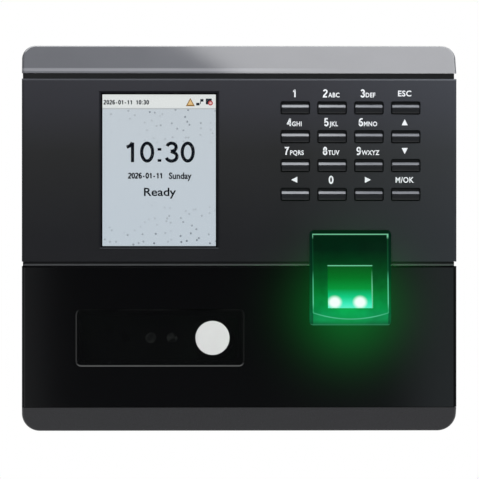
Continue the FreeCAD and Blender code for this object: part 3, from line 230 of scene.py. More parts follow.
skins = {
    # satin silver-grey paint: lifts the upper end band off the black body and takes the overhead light
    "grey_casing": ("satin grey paint", {
        "dark": "#4B4C50", "light": "#515256", "grainSize": 0.35, "roughness": (0.04, 0.065), "bump": 0.02,
        # the rim is a painted highlight along the band's rounded lower edge, fading out to the right
        "rim": {"level": 64.85, "width": 1.15, "start": -25, "end": 40, "colour": "#4A4A4C"}}),
    # spark-textured ABS: a dull charcoal that brightens where light grazes it, with painted light towards its top and
    # its right and a painted highlight along its top lip
    "matte_casing": ("spark-textured ABS", {
        "dark": "#101114", "light": "#141519", "grainSize": 0.45, "roughness": (0.44, 0.54), "bump": 0.15,
        "specular": 0.3, "spill": True,
        "paintedSheen": {"low": 0, "high": 60, "up": [(0, "#000000"), (0.55, "#12120F"), (0.85, "#202024"), (1, "#232327")],
                  "start": 20, "end": 82, "aside": "#1A1D20"},
        "rim": {"level": 61.2, "width": 0.8, "start": 99, "end": 100, "colour": "#303234"}}),
    # piano-black ABS: nearly black, with a clean mirror skin
    "gloss_casing": ("piano-black ABS", {
        "dark": "#050506", "light": "#070708", "grainSize": 0.9, "roughness": (0.05, 0.09), "bump": 0.01,
        "spill": True, "dull": -11.4}),
    # satin charcoal paint: keeps the lower band dark, with a broad soft sheen
    "bottom_casing": ("satin charcoal paint", {
        "dark": "#101116", "light": "#14151A", "grainSize": 0.35, "roughness": (0.24, 0.32), "bump": 0.05,
        "specular": 0.35}),
    # unpainted ABS core: dull black floors in the grooves, with a painted highlight line above the lower cover
    "frame_plastic": ("moulded black ABS", {
        "dark": "#141517", "light": "#1A1B1D", "grainSize": 0.6, "roughness": (0.4, 0.55), "bump": 0.1, "spill": True,
        "rim": {"level": -10.4, "width": 0.8, "start": 99, "end": 100, "colour": "#525456"}, "shade": (-9.7, -8.9)}),
    # coarse-textured ABS: an even, glare-free back
    "rear_plastic": ("textured black ABS", {
        "dark": "#1C1D20", "light": "#242528", "grainSize": 0.6, "roughness": (0.55, 0.7), "bump": 0.25}),
    # powder-coated steel: dark grey with a slight orange peel
    "coated_steel": ("powder-coated steel", {
        "dark": "#3A3C40", "light": "#42444A", "grainSize": 0.8, "roughness": (0.42, 0.55), "bump": 0.3}),
    # zinc-plated steel: bright, cool, faintly streaked
    "screw_steel": ("zinc-plated steel", {
        "dark": "#A9ACB0", "light": "#BFC2C6", "grainSize": 0.3,
        "roughness": (0.22, 0.38), "metallic": 1, "bump": 0.08}),
    # closed-cell foam: dead black line round the display
    "foam": ("closed-cell foam", {
        "dark": "#101012", "light": "#1A1A1D", "grainSize": 0.4, "roughness": (0.85, 0.98), "bump": 0.6}),
    # tinned steel: soft grey mirror of the panel's frame
    "shield_steel": ("tinned steel", {
        "dark": "#9B9EA1", "light": "#B4B6B8", "grainSize": 0.5,
        "roughness": (0.28, 0.42), "metallic": 1, "bump": 0.08}),
    # silicone rubber: a soft, dull grey under the keys
    "silicone": ("moulded silicone rubber", {
        "dark": "#2A2B2E", "light": "#323338", "grainSize": 0.5, "roughness": (0.6, 0.72), "bump": 0.12}),
    # coated glass: violet-black, with a mottled grey glint
    "lens_glass": ("coated lens glass", {
        "dark": "#1A1430", "light": "#241A44", "grainSize": 1.2,
        "roughness": (0.03, 0.06), "coat": 1, "glint": "#8E948F"}),
    # filter glass: green-black and clean
    "infrared_lens": ("infrared filter glass", {
        "dark": "#0E1A16", "light": "#15261E", "grainSize": 1.2, "roughness": (0.03, 0.07), "coat": 1}),
    # polycarbonate module bodies: plain satin black
    "module_plastic": ("black polycarbonate", {
        "dark": "#111214", "light": "#17181A", "grainSize": 0.4, "roughness": (0.35, 0.5), "bump": 0.08}),
    # epoxy: slightly gritty black chips
    "chip_plastic": ("epoxy chip moulding", {
        "dark": "#161618", "light": "#1E1E21", "grainSize": 0.3, "roughness": (0.5, 0.65), "bump": 0.15}),
    # nickel plate: warm, bright cell
    "cell_steel": ("nickel-plated steel", {
        "dark": "#B3B1AB", "light": "#C6C4BE", "grainSize": 0.4,
        "roughness": (0.2, 0.34), "metallic": 1, "bump": 0.05}),
    # filled nylon: dry-looking dark sockets
    "socket_plastic": ("glass-filled nylon", {
        "dark": "#1B1C1F", "light": "#232427", "grainSize": 0.35, "roughness": (0.45, 0.6), "bump": 0.12}),
    # polyamide: the usual green of screw terminals
    "terminal_plastic": ("green polyamide", {
        "dark": "#1E7A3A", "light": "#268A45", "grainSize": 0.5, "roughness": (0.42, 0.55), "bump": 0.1}),
    # nickel-plated brass: a warmer, smoother shell
    "socket_steel": ("nickel-plated brass", {
        "dark": "#ADABA6", "light": "#C2C0BB", "grainSize": 0.4,
        "roughness": (0.2, 0.32), "metallic": 1, "bump": 0.05}),
    # pressed paper: fibrous, quite matt
    "speaker_plastic": ("speaker cone paper", {
        "dark": "#1A1A1B", "light": "#262628", "grainSize": 0.35, "roughness": (0.75, 0.9), "bump": 0.4}),
    # acetal: waxy off-white
    "plunger_plastic": ("acetal", {
        "dark": "#D8D6CF", "light": "#E2E0DA", "grainSize": 0.5, "roughness": (0.32, 0.42), "bump": 0.05}),
    # clear epoxy: pale, wet-looking lamp domes
    "led": ("clear epoxy lamp", {
        "dark": "#C9D8CC", "light": "#E2ECE4", "grainSize": 0.5, "roughness": (0.1, 0.2), "coat": 0.5}),
}
made = {slotName: finish(title, look) for slotName, (title, look) in skins.items()}
print("skins:", len(made))


# the bar colours and the glow paint a highlight on the key bevels, paler at the left
capLook = {"dark": "#111215", "light": "#17181B", "bar": "#86888C", "highlightRight": "#6C6E73", "glow": 0.12,
           "pitch": 14.2, "barWidth": 10.3, "slope": (0.5, 0.95), "grainSize": 0.3, "fade": (30, 50)}

def keySkin(look):
    # hard-coated ABS: black caps, with a painted highlight on the upward bevel, a grey bar in colour and a faint
    # glow, paler at the left
    material, tree, shader, place = newMaterial("hard-coated ABS, painted bevel highlight")
    facing = addNode(tree, "NewGeometry").outputs["True Normal"]
    tilt = addNode(tree, "SeparateXYZ", {"Vector": facing}).outputs["Z"]
    rising = combine(tree, "GREATER_THAN", tilt, look["slope"][0])
    level = combine(tree, "LESS_THAN", tilt, look["slope"][1])
    axes = addNode(tree, "SeparateXYZ", {"Vector": place}).outputs
    pitch = look["pitch"] * mm
    column = combine(tree, "MODULO", combine(tree, "ADD", axes["X"], pitch * 3.5 - centreOf("key_1").x), pitch)
    aside = combine(tree, "ABSOLUTE", combine(tree, "SUBTRACT", column, pitch / 2), 0)
    inBar = combine(tree, "LESS_THAN", aside, look["barWidth"] / 2 * mm)
    isPaintedBar = combine(tree, "MULTIPLY", rising, level, inBar)
    size = look["grainSize"] * mm
    grain = addNode(tree, "TexNoise", {"Vector": place, "Scale": 1 / size, "Detail": 4}).outputs["Fac"]
    cap = blendStops(tree, grain, [(0.3, look["dark"]), (0.7, look["light"])])
    across = between(tree, axes["X"], look["fade"][0] * mm, look["fade"][1] * mm)
    bar = blendStops(tree, across, [(0.0, look["bar"]), (1.0, look["highlightRight"])])
    shade = addNode(tree, "Mix", {"Factor": isPaintedBar, "A": cap, "B": bar}, **colourMix).outputs["Result"]
    glow = addNode(tree, "Mix", {"Factor": isPaintedBar, "A": black, "B": bar}, **colourMix).outputs["Result"]
    connect(tree, shader, {"Base Color": shade, "Emission Color": glow, "Emission Strength": look["glow"],
                           "Roughness": 0.35, "Specular IOR Level": 0.3})
    return material

made["key_plastic"] = keySkin(capLook)


# circuit boards: green solder mask over copper tracks

boardLook = {"mask": "#0E3B22", "track": "#1B5A34", "pitch": 1.27}

def circuitBoard(look):
    material, tree, shader, place = newMaterial("green FR4 board")
    scale = 1 / (look["pitch"] * 2 * mm)
    spread = addNode(tree, "Mapping", {"Vector": place, "Scale": (scale, scale, scale)}).outputs["Vector"]
    upright = addNode(tree, "Mapping", {"Vector": spread, "Rotation": (pi / 2, 0, 0)}).outputs["Vector"]
    tracks = addNode(tree, "TexBrick", {"Vector": upright, "Color1": toLinear(look["mask"]),
                                        "Color2": toLinear(look["track"]), "Mortar": toLinear(look["track"]),
                                        "Scale": 1.0, "Mortar Size": 0.03})
    bump = addNode(tree, "Bump", {"Height": tracks.outputs["Fac"], "Strength": 0.3, "Distance": 0.05 * mm})
    connect(tree, shader, {"Base Color": tracks.outputs["Color"], "Roughness": 0.35,
                           "Normal": bump.outputs["Normal"]})
    return material

made["circuit_board"] = circuitBoard(boardLook)


# colour display: a lit page behind a clear cover; sizes in mm

pageLook = {
    "width": 43.7, "height": 58.4, "header": "#DFE2E1", "line": "#B8BCBF", "paper": "#C3CBD2", "paperLow": "#BFC9D2",
    "headerHeight": 5.2, "lineHeight": 0.5, "speck": "#78818A", "speckSize": 0.8, "speckPitch": 3.4,
    "bareRows": (31.0, 9.0, 24.0),  # specks stay away from this row, and are all there from 9 to 24 mm off it
}
panelLow, panelHigh = (Vector(corner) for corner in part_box("lcd_panel"))
windowLow, windowHigh = (Vector(corner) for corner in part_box("display_window"))
pageMiddle = (windowLow + windowHigh) / 2
pageTop = pageMiddle.z + pageLook["height"] / 2 * mm
pageLeft = pageMiddle.x - pageLook["width"] / 2 * mm

def litPage(look):
    # backlit liquid crystal: an even, slightly blue white that doesn't take room light
    material, tree, shader, place = newMaterial("backlit colour display")
    axes = addNode(tree, "SeparateXYZ", {"Vector": place}).outputs
    pageFoot = pageTop - look["height"] * mm
    down = addNode(tree, "MapRange", {"Value": axes["Z"], "From Min": pageTop, "From Max": pageFoot,
                                      "To Max": look["height"]}).outputs["Result"]  # mm below the top of the page
    inBody = combine(tree, "GREATER_THAN", down, look["headerHeight"] + look["lineHeight"])
    inLine = combine(tree, "GREATER_THAN", down, look["headerHeight"])
    fade = between(tree, down, look["headerHeight"], look["height"])
    paper = blendStops(tree, fade, [(0, look["paper"]), (1, look["paperLow"])])
    onPlane = addNode(tree, "CombineXYZ", {"X": axes["X"], "Y": axes["Z"]}).outputs[0]
    specks = addNode(tree, "TexVoronoi", {"Vector": onPlane, "Scale": 1 / (look["speckPitch"] * mm)},
                     voronoi_dimensions="2D")
    isSpeck = combine(tree, "LESS_THAN", specks.outputs["Distance"], look["speckSize"] / 2 / look["speckPitch"])
    patch = addNode(tree, "TexNoise", {"Vector": place, "Scale": 1 / (16 * mm), "Detail": 2})
    row, near, far = look["bareRows"]
    offRow = combine(tree, "ABSOLUTE", combine(tree, "SUBTRACT", down, row), 0)
    few = combine(tree, "MULTIPLY", between(tree, patch.outputs["Fac"], 0.36, 0.52), between(tree, offRow, near, far))
    amount = combine(tree, "MULTIPLY", isSpeck, few)
    body = addNode(tree, "Mix", {"Factor": amount, "A": paper, "B": toLinear(look["speck"])}, **colourMix)
    lined = addNode(tree, "Mix", {"Factor": inLine, "A": toLinear(look["header"]), "B": toLinear(look["line"])},
                    **colourMix)
    page = addNode(tree, "Mix", {"Factor": inBody, "A": lined.outputs["Result"], "B": body.outputs["Result"]},
                   **colourMix)
    connect(tree, shader, {"Emission Color": page.outputs["Result"], "Emission Strength": 1.0,
                           "Base Color": toLinear("#08090A"), "Specular IOR Level": 0, "Roughness": 0.4})
    return material

made["screen"] = litPage(pageLook)


windowLook = {"clear": "#FCFDFD", "print": "#060607", "rim": "#202125", "foot": "#3A3C40",
              "margin": 1.1, "rimWidth": 0.5}

def printedWindow(look):
    # clear acrylic cover: mirror-smooth, with a black line printed round the back of its edge, and a painted
    # highlight that makes it paler along its foot
    material, tree, shader, place = newMaterial("clear acrylic window")
    axes = addNode(tree, "SeparateXYZ", {"Vector": place}).outputs
    sides, rims = [], []
    for axis, middle, half in (("X", pageMiddle.x, (windowHigh.x - windowLow.x) / 2),
                               ("Z", pageMiddle.z, (windowHigh.z - windowLow.z) / 2)):
        off = combine(tree, "SUBTRACT", axes[axis], middle)
        far = combine(tree, "ABSOLUTE", off, 0)
        sides.append(combine(tree, "GREATER_THAN", far, half - look["margin"] * mm))
        rims.append(combine(tree, "GREATER_THAN", far, half - look["rimWidth"] * mm))
    inRim = combine(tree, "MAXIMUM", rims[0], rims[1])
    # painted highlight: the printed rim is paler along the foot of the window, where light falls on the wall below
    paintedLitFoot = combine(tree, "LESS_THAN", axes["Z"], windowLow.z + look["rimWidth"] * mm)
    rim = addNode(tree, "Mix", {"Factor": paintedLitFoot, "A": toLinear(look["rim"]), "B": toLinear(look["foot"])},
                  **colourMix)
    border = addNode(tree, "Mix", {"Factor": inRim, "A": toLinear(look["print"]), "B": rim.outputs["Result"]},
                     **colourMix)
    inPrint = combine(tree, "MAXIMUM", sides[0], sides[1])
    clear = combine(tree, "SUBTRACT", 1.0, inPrint)
    tint = addNode(tree, "Mix", {"Factor": inPrint, "A": toLinear(look["clear"]), "B": border.outputs["Result"]},
                   **colourMix)
    # coated against glare, so it mirrors far less than bare acrylic
    connect(tree, shader, {"Base Color": tint.outputs["Result"], "Transmission Weight": clear,
                           "Roughness": 0.0, "IOR": 1.12})
    return material

made["clear_window"] = printedWindow(windowLook)


# page print: clock, date, state and status icons, drawn just in front of the panel

pagePrint = {
    "lift": 0.03,
    "inks": {"dark": ("#0B0F16", "#0C1017"), "small": ("#1E242C", "#1F252D"), "orange": ("#E0BC84", "#E1BD85"),
             "brown": ("#8F6A34", "#906B35"), "red": ("#B84A4C", "#B94B4D"), "pale": ("#DDB9B6", "#DEBAB7")},
}

def inkMaterial(name, low, high):
    # dark picture elements of the panel: they take no room light either
    material, tree, shader, place = newMaterial(name)
    flicker = addNode(tree, "TexNoise", {"Vector": place, "Scale": 1 / (0.4 * mm), "Detail": 2}).outputs["Fac"]
    shade = blendStops(tree, flicker, [(0.3, low), (0.7, high)])
    connect(tree, shader, {"Emission Color": shade, "Emission Strength": 1.0,
                           "Base Color": toLinear("#050607"), "Specular IOR Level": 0, "Roughness": 0.5})
    return material

inks = {name: inkMaterial(name + " display cells", *colours) for name, colours in pagePrint["inks"].items()}


def wordMesh(name, words, height, width=None, weight=0.0, spacing=1.0):
    # flat lettering that faces -Y, its middle at the origin, capitals "height" mm tall
    letters = bpy.data.curves.new(name, "FONT")
    letters.body = words
    letters.size = 1.0
    letters.offset = weight
    letters.space_character = spacing
    letters.fill_mode = "FRONT"
    letters.resolution_u = 3
    holder = bpy.data.objects.new(name, letters)
    scene.collection.objects.link(holder)
    bpy.context.view_layer.update()
    mesh = bpy.data.meshes.new_from_object(holder)
    bpy.data.objects.remove(holder)
    xs = [v.co.x for v in mesh.vertices]
    capital = 0.7  # height of a capital at size 1
    grow = height * mm / capital
    wide = width * mm / (max(xs) - min(xs)) if width else grow
    middle = (max(xs) + min(xs)) / 2
    for v in mesh.vertices:
        v.co = Vector(((v.co.x - middle) * wide, 0, (v.co.y - capital / 2) * grow))
    return mesh


def sweep(cx, cy, rx, ry, start, end, steps=14):  # part of an ellipse, angles in degrees
    turns = [radians(start + (end - start) * i / steps) for i in range(steps + 1)]
    return [(cx + rx * cos(turn), cy + ry * sin(turn)) for turn in turns]


digitStrokes = {  # centre lines in a cell 0.56 wide and 1 high
    "0": [sweep(0.28, 0.5, 0.215, 0.44, 90, 450, 28)],
    "1": [[(0.10, 0.74), (0.2, 0.79), (0.27, 0.86), (0.32, 0.97)], [(0.33, 0.0), (0.33, 0.97)]],
    "2": [sweep(0.28, 0.72, 0.205, 0.22, 168, -20, 14) + [(0.4, 0.52), (0.12, 0.22), (0.07, 0.06), (0.5, 0.06)]],
    "3": [sweep(0.27, 0.74, 0.18, 0.2, 165, -62, 12) + [(0.24, 0.535)],
          [(0.24, 0.535)] + sweep(0.27, 0.28, 0.21, 0.225, 78, -165, 14)],
    "4": [[(0.38, 0.97), (0.06, 0.32), (0.06, 0.29), (0.54, 0.29)], [(0.39, 0.0), (0.39, 0.97)]],
    "5": [[(0.47, 0.94), (0.14, 0.94), (0.085, 0.48)] + sweep(0.27, 0.32, 0.21, 0.265, 135, -155, 14)],
    "6": [sweep(0.28, 0.3, 0.2, 0.245, 90, 450, 22), sweep(0.36, 0.5, 0.28, 0.44, 60, 205, 12)],
    "7": [[(0.05, 0.93), (0.5, 0.93), (0.34, 0.62), (0.25, 0.32), (0.21, 0.0)]],
    "8": [sweep(0.28, 0.745, 0.165, 0.195, 90, 450, 20), sweep(0.28, 0.29, 0.205, 0.23, 90, 450, 20)],
    "9": [sweep(0.28, 0.7, 0.2, 0.245, 90, 450, 22), sweep(0.2, 0.5, 0.28, 0.44, -120, 25, 12)],
    ":": [[(0.14, 0.02), (0.14, 0.15)], [(0.14, 0.57), (0.14, 0.7)]],
    "-": [[(0.12, 0.36), (0.42, 0.36)]],
    " ": [],
}


def ribbon(shape, points, thickness):  # a flat stroke of even width along points in the XZ plane
    closed = (Vector(points[0]) - Vector(points[-1])).length < 1e-6
    path = [Vector(point) for point in (points[:-1] if closed else points)]
    count = len(path)
    rails = []
    for i, point in enumerate(path):
        before = path[i - 1] if i or closed else None
        after = path[(i + 1) % count] if i < count - 1 or closed else None
        runs = [(b - a).normalized() for a, b in ((before, point), (point, after)) if a is not None and b is not None]
        along = sum(runs, Vector((0, 0))).normalized()
        aside = Vector((-along.y, along.x)) * thickness / 2 / max(0.5, along.dot(runs[0]))
        rails.append([shape.verts.new((q.x, 0, q.y)) for q in (point + aside, point - aside)])
    pairs = list(zip(rails, rails[1:])) + ([(rails[-1], rails[0])] if closed else [])
    for (a, b), (c, d) in pairs:
        shape.faces.new((a, b, d, c))


def digitMesh(name, words, height, thickness, gap, wide=1.0):  # digits "height" mm tall, middle at the origin
    mesh = bpy.data.meshes.new(name)
    shape = bmesh.new()
    left = 0.0
    for sign in words:
        strokes = digitStrokes[sign]
        for stroke in strokes:
            ribbon(shape, [(x * wide + left, y) for x, y in stroke], thickness * (1.15 if sign == ":" else 1.0))
        left += (0.28 if sign == ":" else 0.56) * wide + gap
    for v in shape.verts:
        v.co = Vector(((v.co.x - (left - gap) / 2) * height * mm, 0, (v.co.z - 0.5) * height * mm))
    bmesh.ops.recalc_face_normals(shape, faces=shape.faces)
    shape.to_mesh(mesh)
    shape.free()
    return mesh


def moveMesh(mesh, x, y, z):
    for v in mesh.vertices:
        v.co += Vector((x, y, z))
    return mesh


def flatShape(name, outline, x, y, z):  # outline: (x, z) in mm
    mesh = bpy.data.meshes.new(name)
    shape = bmesh.new()
    shape.faces.new([shape.verts.new((x + a * mm, y, z + b * mm)) for a, b in outline])
    shape.to_mesh(mesh)
    shape.free()
    return mesh


def onPage(name, mesh, right, down, material):  # mm from the page's upper left corner
    moveMesh(mesh, pageLeft + right * mm, panelLow.y - pagePrint["lift"] * mm, pageTop - down * mm)
    return addPiece(name, mesh, material, "housing")


pageWords = (  # name, drawn by, words, its sizes, mm right and down, ink
    ("clock_digits", digitMesh, "10:30", (7.8, 0.164, 0.08, 1.26), 22.0, 22.2, "dark"),
    ("date_digits", digitMesh, "2026-01-11", (2.1, 0.235, 0.08), 16.6, 31.3, "dark"),
    ("date_word", wordMesh, "Sunday", (2.4, 8.8, 0.03), 30.0, 31.3, "dark"),
    ("state_line", wordMesh, "Ready", (3.1, 12.4, 0.018), 22.2, 37.5, "dark"),
    ("header_digits", digitMesh, "2026-01-11 10:30", (1.6, 0.24, 0.145), 9.2, 3.0, "small"),
)
for name, draw, words, sizes, right, down, ink in pageWords:
    onPage(name, draw(name, words, *sizes), right, down, inks[ink])

icons = {"warning": 3.5, "network": 3.0, "alert": 3.0, "down": 3.0,
         "warningAt": 33.9, "networkAt": 37.6, "alertAt": 41.3}
wide = icons["warning"] / 2
for name, share, ink, lift in (("warning_icon", 1.0, "brown", 0), ("warning_icon_face", 0.62, "orange", 0.006)):
    outline = [(-wide * share, -wide * 0.8 * share), (wide * share, -wide * 0.8 * share), (0, wide * share)]
    triangle = moveMesh(flatShape(name, outline, 0, 0, 0), 0, -lift * mm, 0)
    onPage(name, triangle, icons["warningAt"], icons["down"] + 0.1, inks[ink])
bar = flatShape("warning_icon_bar", [(-0.2, -0.7), (0.2, -0.7), (0.2, 0.6), (-0.2, 0.6)], 0, 0, 0)
onPage("warning_icon_bar", bar, icons["warningAt"], icons["down"] + 0.15, inks["small"])


def boxesMesh(name, boxes):  # flat boxes: middle across, middle up, width, height in mm
    mesh = bpy.data.meshes.new(name)
    shape = bmesh.new()
    for across, up, wide, tall in boxes:
        corners = [(across + i * wide / 2, up + j * tall / 2) for i, j in ((-1, -1), (1, -1), (1, 1), (-1, 1))]
        shape.faces.new([shape.verts.new((a * mm, 0, b * mm)) for a, b in corners])
    shape.to_mesh(mesh)
    shape.free()
    return mesh


unit = icons["network"] / 3
boxes = ((-0.8, -0.7, 1.3, 1.0), (0.75, 0.75, 1.2, 1.0), (0.2, -0.2, 0.3, 0.9))
links = [[share * unit for share in box] for box in boxes]
onPage("network_icon", boxesMesh("network_icon", links), icons["networkAt"], icons["down"], inks["small"])
half = icons["alert"] / 2
square = boxesMesh("alert_icon", [(-0.2 * half, 0.2 * half, 1.5 * half, 1.5 * half)])
onPage("alert_icon", square, icons["alertAt"], icons["down"], inks["small"])
for name, radius, ink, lift in (("alert_spot", 0.62, "red", 0.006), ("alert_spot_hole", 0.3, "pale", 0.012)):
    ring = [(half * a, half * b) for a, b in sweep(0.25, -0.2, radius, radius, 0, 345, 23)]
    spot = moveMesh(flatShape(name, ring, 0, 0, 0), 0, -lift * mm, 0)
    onPage(name, spot, icons["alertAt"], icons["down"], inks[ink])
print("display page drawn")


# key legends: white screen print above each key; sizes in mm

legendLook = {"ink": "#D2D4D7", "thin": "#C2C4C8", "digit": 3.0, "letter": 1.75, "word": 2.15, "rise": 0.012,
              "mark": 2.35, "stroke": 0.185, "narrow": 0.86, "aside": -0.4, "above": 5.6}

def padPrint(look):
    # screen-printed white ink: chalky, slightly uneven in thickness, with a faint painted glow
    material, tree, shader, place = newMaterial("white screen-print ink")
    grain = addNode(tree, "TexNoise", {"Vector": place, "Scale": 1 / (0.25 * mm), "Detail": 3}).outputs["Fac"]
    shade = blendStops(tree, grain, [(0.3, look["thin"]), (0.7, look["ink"])])
    connect(tree, shader, {"Base Color": shade, "Emission Color": shade, "Emission Strength": 0.1,
                           "Roughness": 0.55})
    return material

whiteInk = padPrint(legendLook)
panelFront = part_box("upper_cover")[0][1]

legends = {
    "key_1": ("1", ""), "key_2": ("2", "ABC"), "key_3": ("3", "DEF"), "key_esc": ("", "ESC"),
    "key_4": ("4", "GHI"), "key_5": ("5", "JKL"), "key_6": ("6", "MNO"), "key_up": ("up", ""),
    "key_7": ("7", "PQRS"), "key_8": ("8", "TUV"), "key_9": ("9", "WXYZ"), "key_down": ("down", ""),
    "key_left": ("left", ""), "key_0": ("0", ""), "key_right": ("right", ""), "key_ok": ("", "M/OK"),
}
arrows = {"up": (0, 1), "down": (0, -1), "left": (-1, 0), "right": (1, 0)}

def legendMesh(name, big, small, look):
    if big in arrows:
        ax, az = arrows[big]
        h = look["mark"] / 2
        return flatShape(name, [(ax * h, az * h), (-ax * h - az * h, -az * h + ax * h),
                                (-ax * h + az * h, -az * h - ax * h)], 0, 0, 0)
    parts = []
    left = 0.0
    for words, height, weight in ((big, look["digit"], 0.0), (small, look["letter" if big else "word"], 0.022)):
        if not words:
            continue
        if words in digitStrokes:
            mesh = digitMesh(name, words, height, look["stroke"], 0)
        else:
            mesh = wordMesh(name, words, height, weight=weight, spacing=1.08)
            for v in mesh.vertices:
                v.co.x *= look["narrow"] if big or len(words) > 3 else 1.0
        xs = [v.co.x for v in mesh.vertices]
        moveMesh(mesh, left - min(xs), 0, (height - look["digit"]) / 2 * mm if big else 0)
        left += max(xs) - min(xs) + 0.25 * mm
        parts.append(mesh)
    joined = bmesh.new()
    for mesh in parts:
        joined.from_mesh(mesh)
    result = bpy.data.meshes.new(name)
    joined.to_mesh(result)
    joined.free()
    xs = [v.co.x for v in result.vertices]
    return moveMesh(result, -(min(xs) + max(xs)) / 2, 0, 0)


for keyName, (big, small) in legends.items():
    middle = centreOf(keyName)
    mesh = legendMesh("legend_" + keyName, big, small, legendLook)
    moveMesh(mesh, middle.x + legendLook["aside"] * mm, panelFront - legendLook["rise"] * mm,
             middle.z + legendLook["above"] * mm)
    addPiece("legend_" + keyName, mesh, whiteInk, "housing")
print("legends:", len(legends))


# fingerprint reader: green light painted in the trough and in the glass; places and sizes in mm

# the trough, halo, line and glass colours are painted green light, and the ridge colour is a painted highlight
readerLook = {
    "trough": [(0.0, "#02200F"), (0.2, "#032413"), (0.33, "#033A19"), (0.5, "#045622"), (0.65, "#047A30"),
               (0.82, "#069448"), (0.88, "#0E9C58"), (0.94, "#109854"), (1.0, "#0A6036")],
    "cloud": "#04140B", "outside": "#04241A",
    "halo": {"middle": (41.6, -25.0), "reach": 7.5, "peak": 0.45}, "haloColour": "#08C858",
    "glass": [(0.0, "#064C16"), (0.3, "#036A20"), (0.55, "#058E38"), (0.75, "#12C884"), (0.9, "#3CE8BA"),
              (1.0, "#5CEFC6")],
    "line": [(0.0, "#6FBF95"), (0.06, "#6FBF95"), (0.09, "#0C3A20"), (0.42, "#105030"), (0.52, "#45B080"),
             (0.76, "#5CCB9C"), (0.84, "#249C60"), (0.91, "#4FC090"), (1.0, "#3A7F5C")],
    "left": 27.2, "right": 58.2, "foot": -33.5, "top": 2.9,
    "rim": 1.05, "lineWidth": 0.4, "lipLevel": -31.1, "lipRise": 2.4,
    "ridgeHighlight": "#6CC79C", "ridgeInset": 0.12, "ridgeWidth": 0.5,
    "spots": 4.4, "spotPlaces": (36.65, 46.4), "spotRise": 2.25, "spot": "#F4FFFB",
}
bezelLow = Vector((readerLook["left"], 0, readerLook["foot"])) * mm  # the part that shows in the panel's opening
bezelHigh = Vector((readerLook["right"], 0, readerLook["top"])) * mm
prismLow, prismHigh = (Vector(corner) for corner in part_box("sensor_prism"))

def litTrough(look):
    # smoked, glossy polycarbonate: painted green light fills its foot, with a painted halo and painted highlight
    # lines along the rim of the trough
    material, tree, shader, place = newMaterial("smoked polycarbonate, painted green glow")
    axes = addNode(tree, "SeparateXYZ", {"Vector": place}).outputs
    centre = (bezelLow.x + bezelHigh.x) / 2
    halfTrough = (bezelHigh.x - bezelLow.x) / 2 - look["rim"] * mm
    across = combine(tree, "ABSOLUTE", combine(tree, "SUBTRACT", axes["X"], centre), 0.0)
    down = between(tree, axes["Z"], bezelHigh.z, bezelLow.z)
    glow = blendStops(tree, down, look["trough"])
    blotch = addNode(tree, "TexNoise", {"Vector": place, "Scale": 1 / (5 * mm), "Detail": 2}).outputs["Fac"]
    uneven = addNode(tree, "Mix", {"Factor": between(tree, blotch, 0.25, 1.6), "A": glow,
                                   "B": toLinear(look["cloud"])}, **colourMix).outputs["Result"]
    sagged = combine(tree, "MULTIPLY", across, across)
    sag = look["lipRise"] * mm / halfTrough ** 2
    lip = addNode(tree, "Math", {0: sagged, 1: sag, 2: look["lipLevel"] * mm}, operation="MULTIPLY_ADD").outputs[0]
    above = combine(tree, "SUBTRACT", axes["Z"], lip)
    inside = combine(tree, "LESS_THAN", across, halfTrough + 0.1 * mm)
    overLip = combine(tree, "GREATER_THAN", above, 0.0)
    underTop = combine(tree, "LESS_THAN", axes["Z"], bezelHigh.z - 1.2 * mm)
    width = look["lineWidth"] * mm
    sides = combine(tree, "MULTIPLY", onLine(tree, across, halfTrough, width), overLip, underTop)
    foot = combine(tree, "MULTIPLY", onLine(tree, above, 0.0, width), inside)
    top = combine(tree, "MULTIPLY", onLine(tree, axes["Z"], bezelHigh.z - 1.4 * mm, width), inside)
    edge = onLine(tree, axes["Z"], bezelLow.z + 0.25 * mm, width)
    paintedRimLines = combine(tree, "MAXIMUM", sides, foot, top, combine(tree, "MULTIPLY", edge, 0.6))
    halo = bell(tree, place, look["halo"])
    outside = combine(tree, "MULTIPLY", combine(tree, "GREATER_THAN", across, halfTrough), 0.6)
    lit = uneven
    for share, colour in ((halo, toLinear(look["haloColour"])), (outside, toLinear(look["outside"])),
                          (paintedRimLines, blendStops(tree, down, look["line"]))):
        lit = addNode(tree, "Mix", {"Factor": share, "A": lit, "B": colour}, **colourMix).outputs["Result"]
    connect(tree, shader, {"Emission Color": lit, "Emission Strength": 1.0,
                           "Base Color": toLinear("#010302"), "Roughness": 0.3, "Specular IOR Level": 0.03})
    return material

made["bezel_plastic"] = litTrough(readerLook)


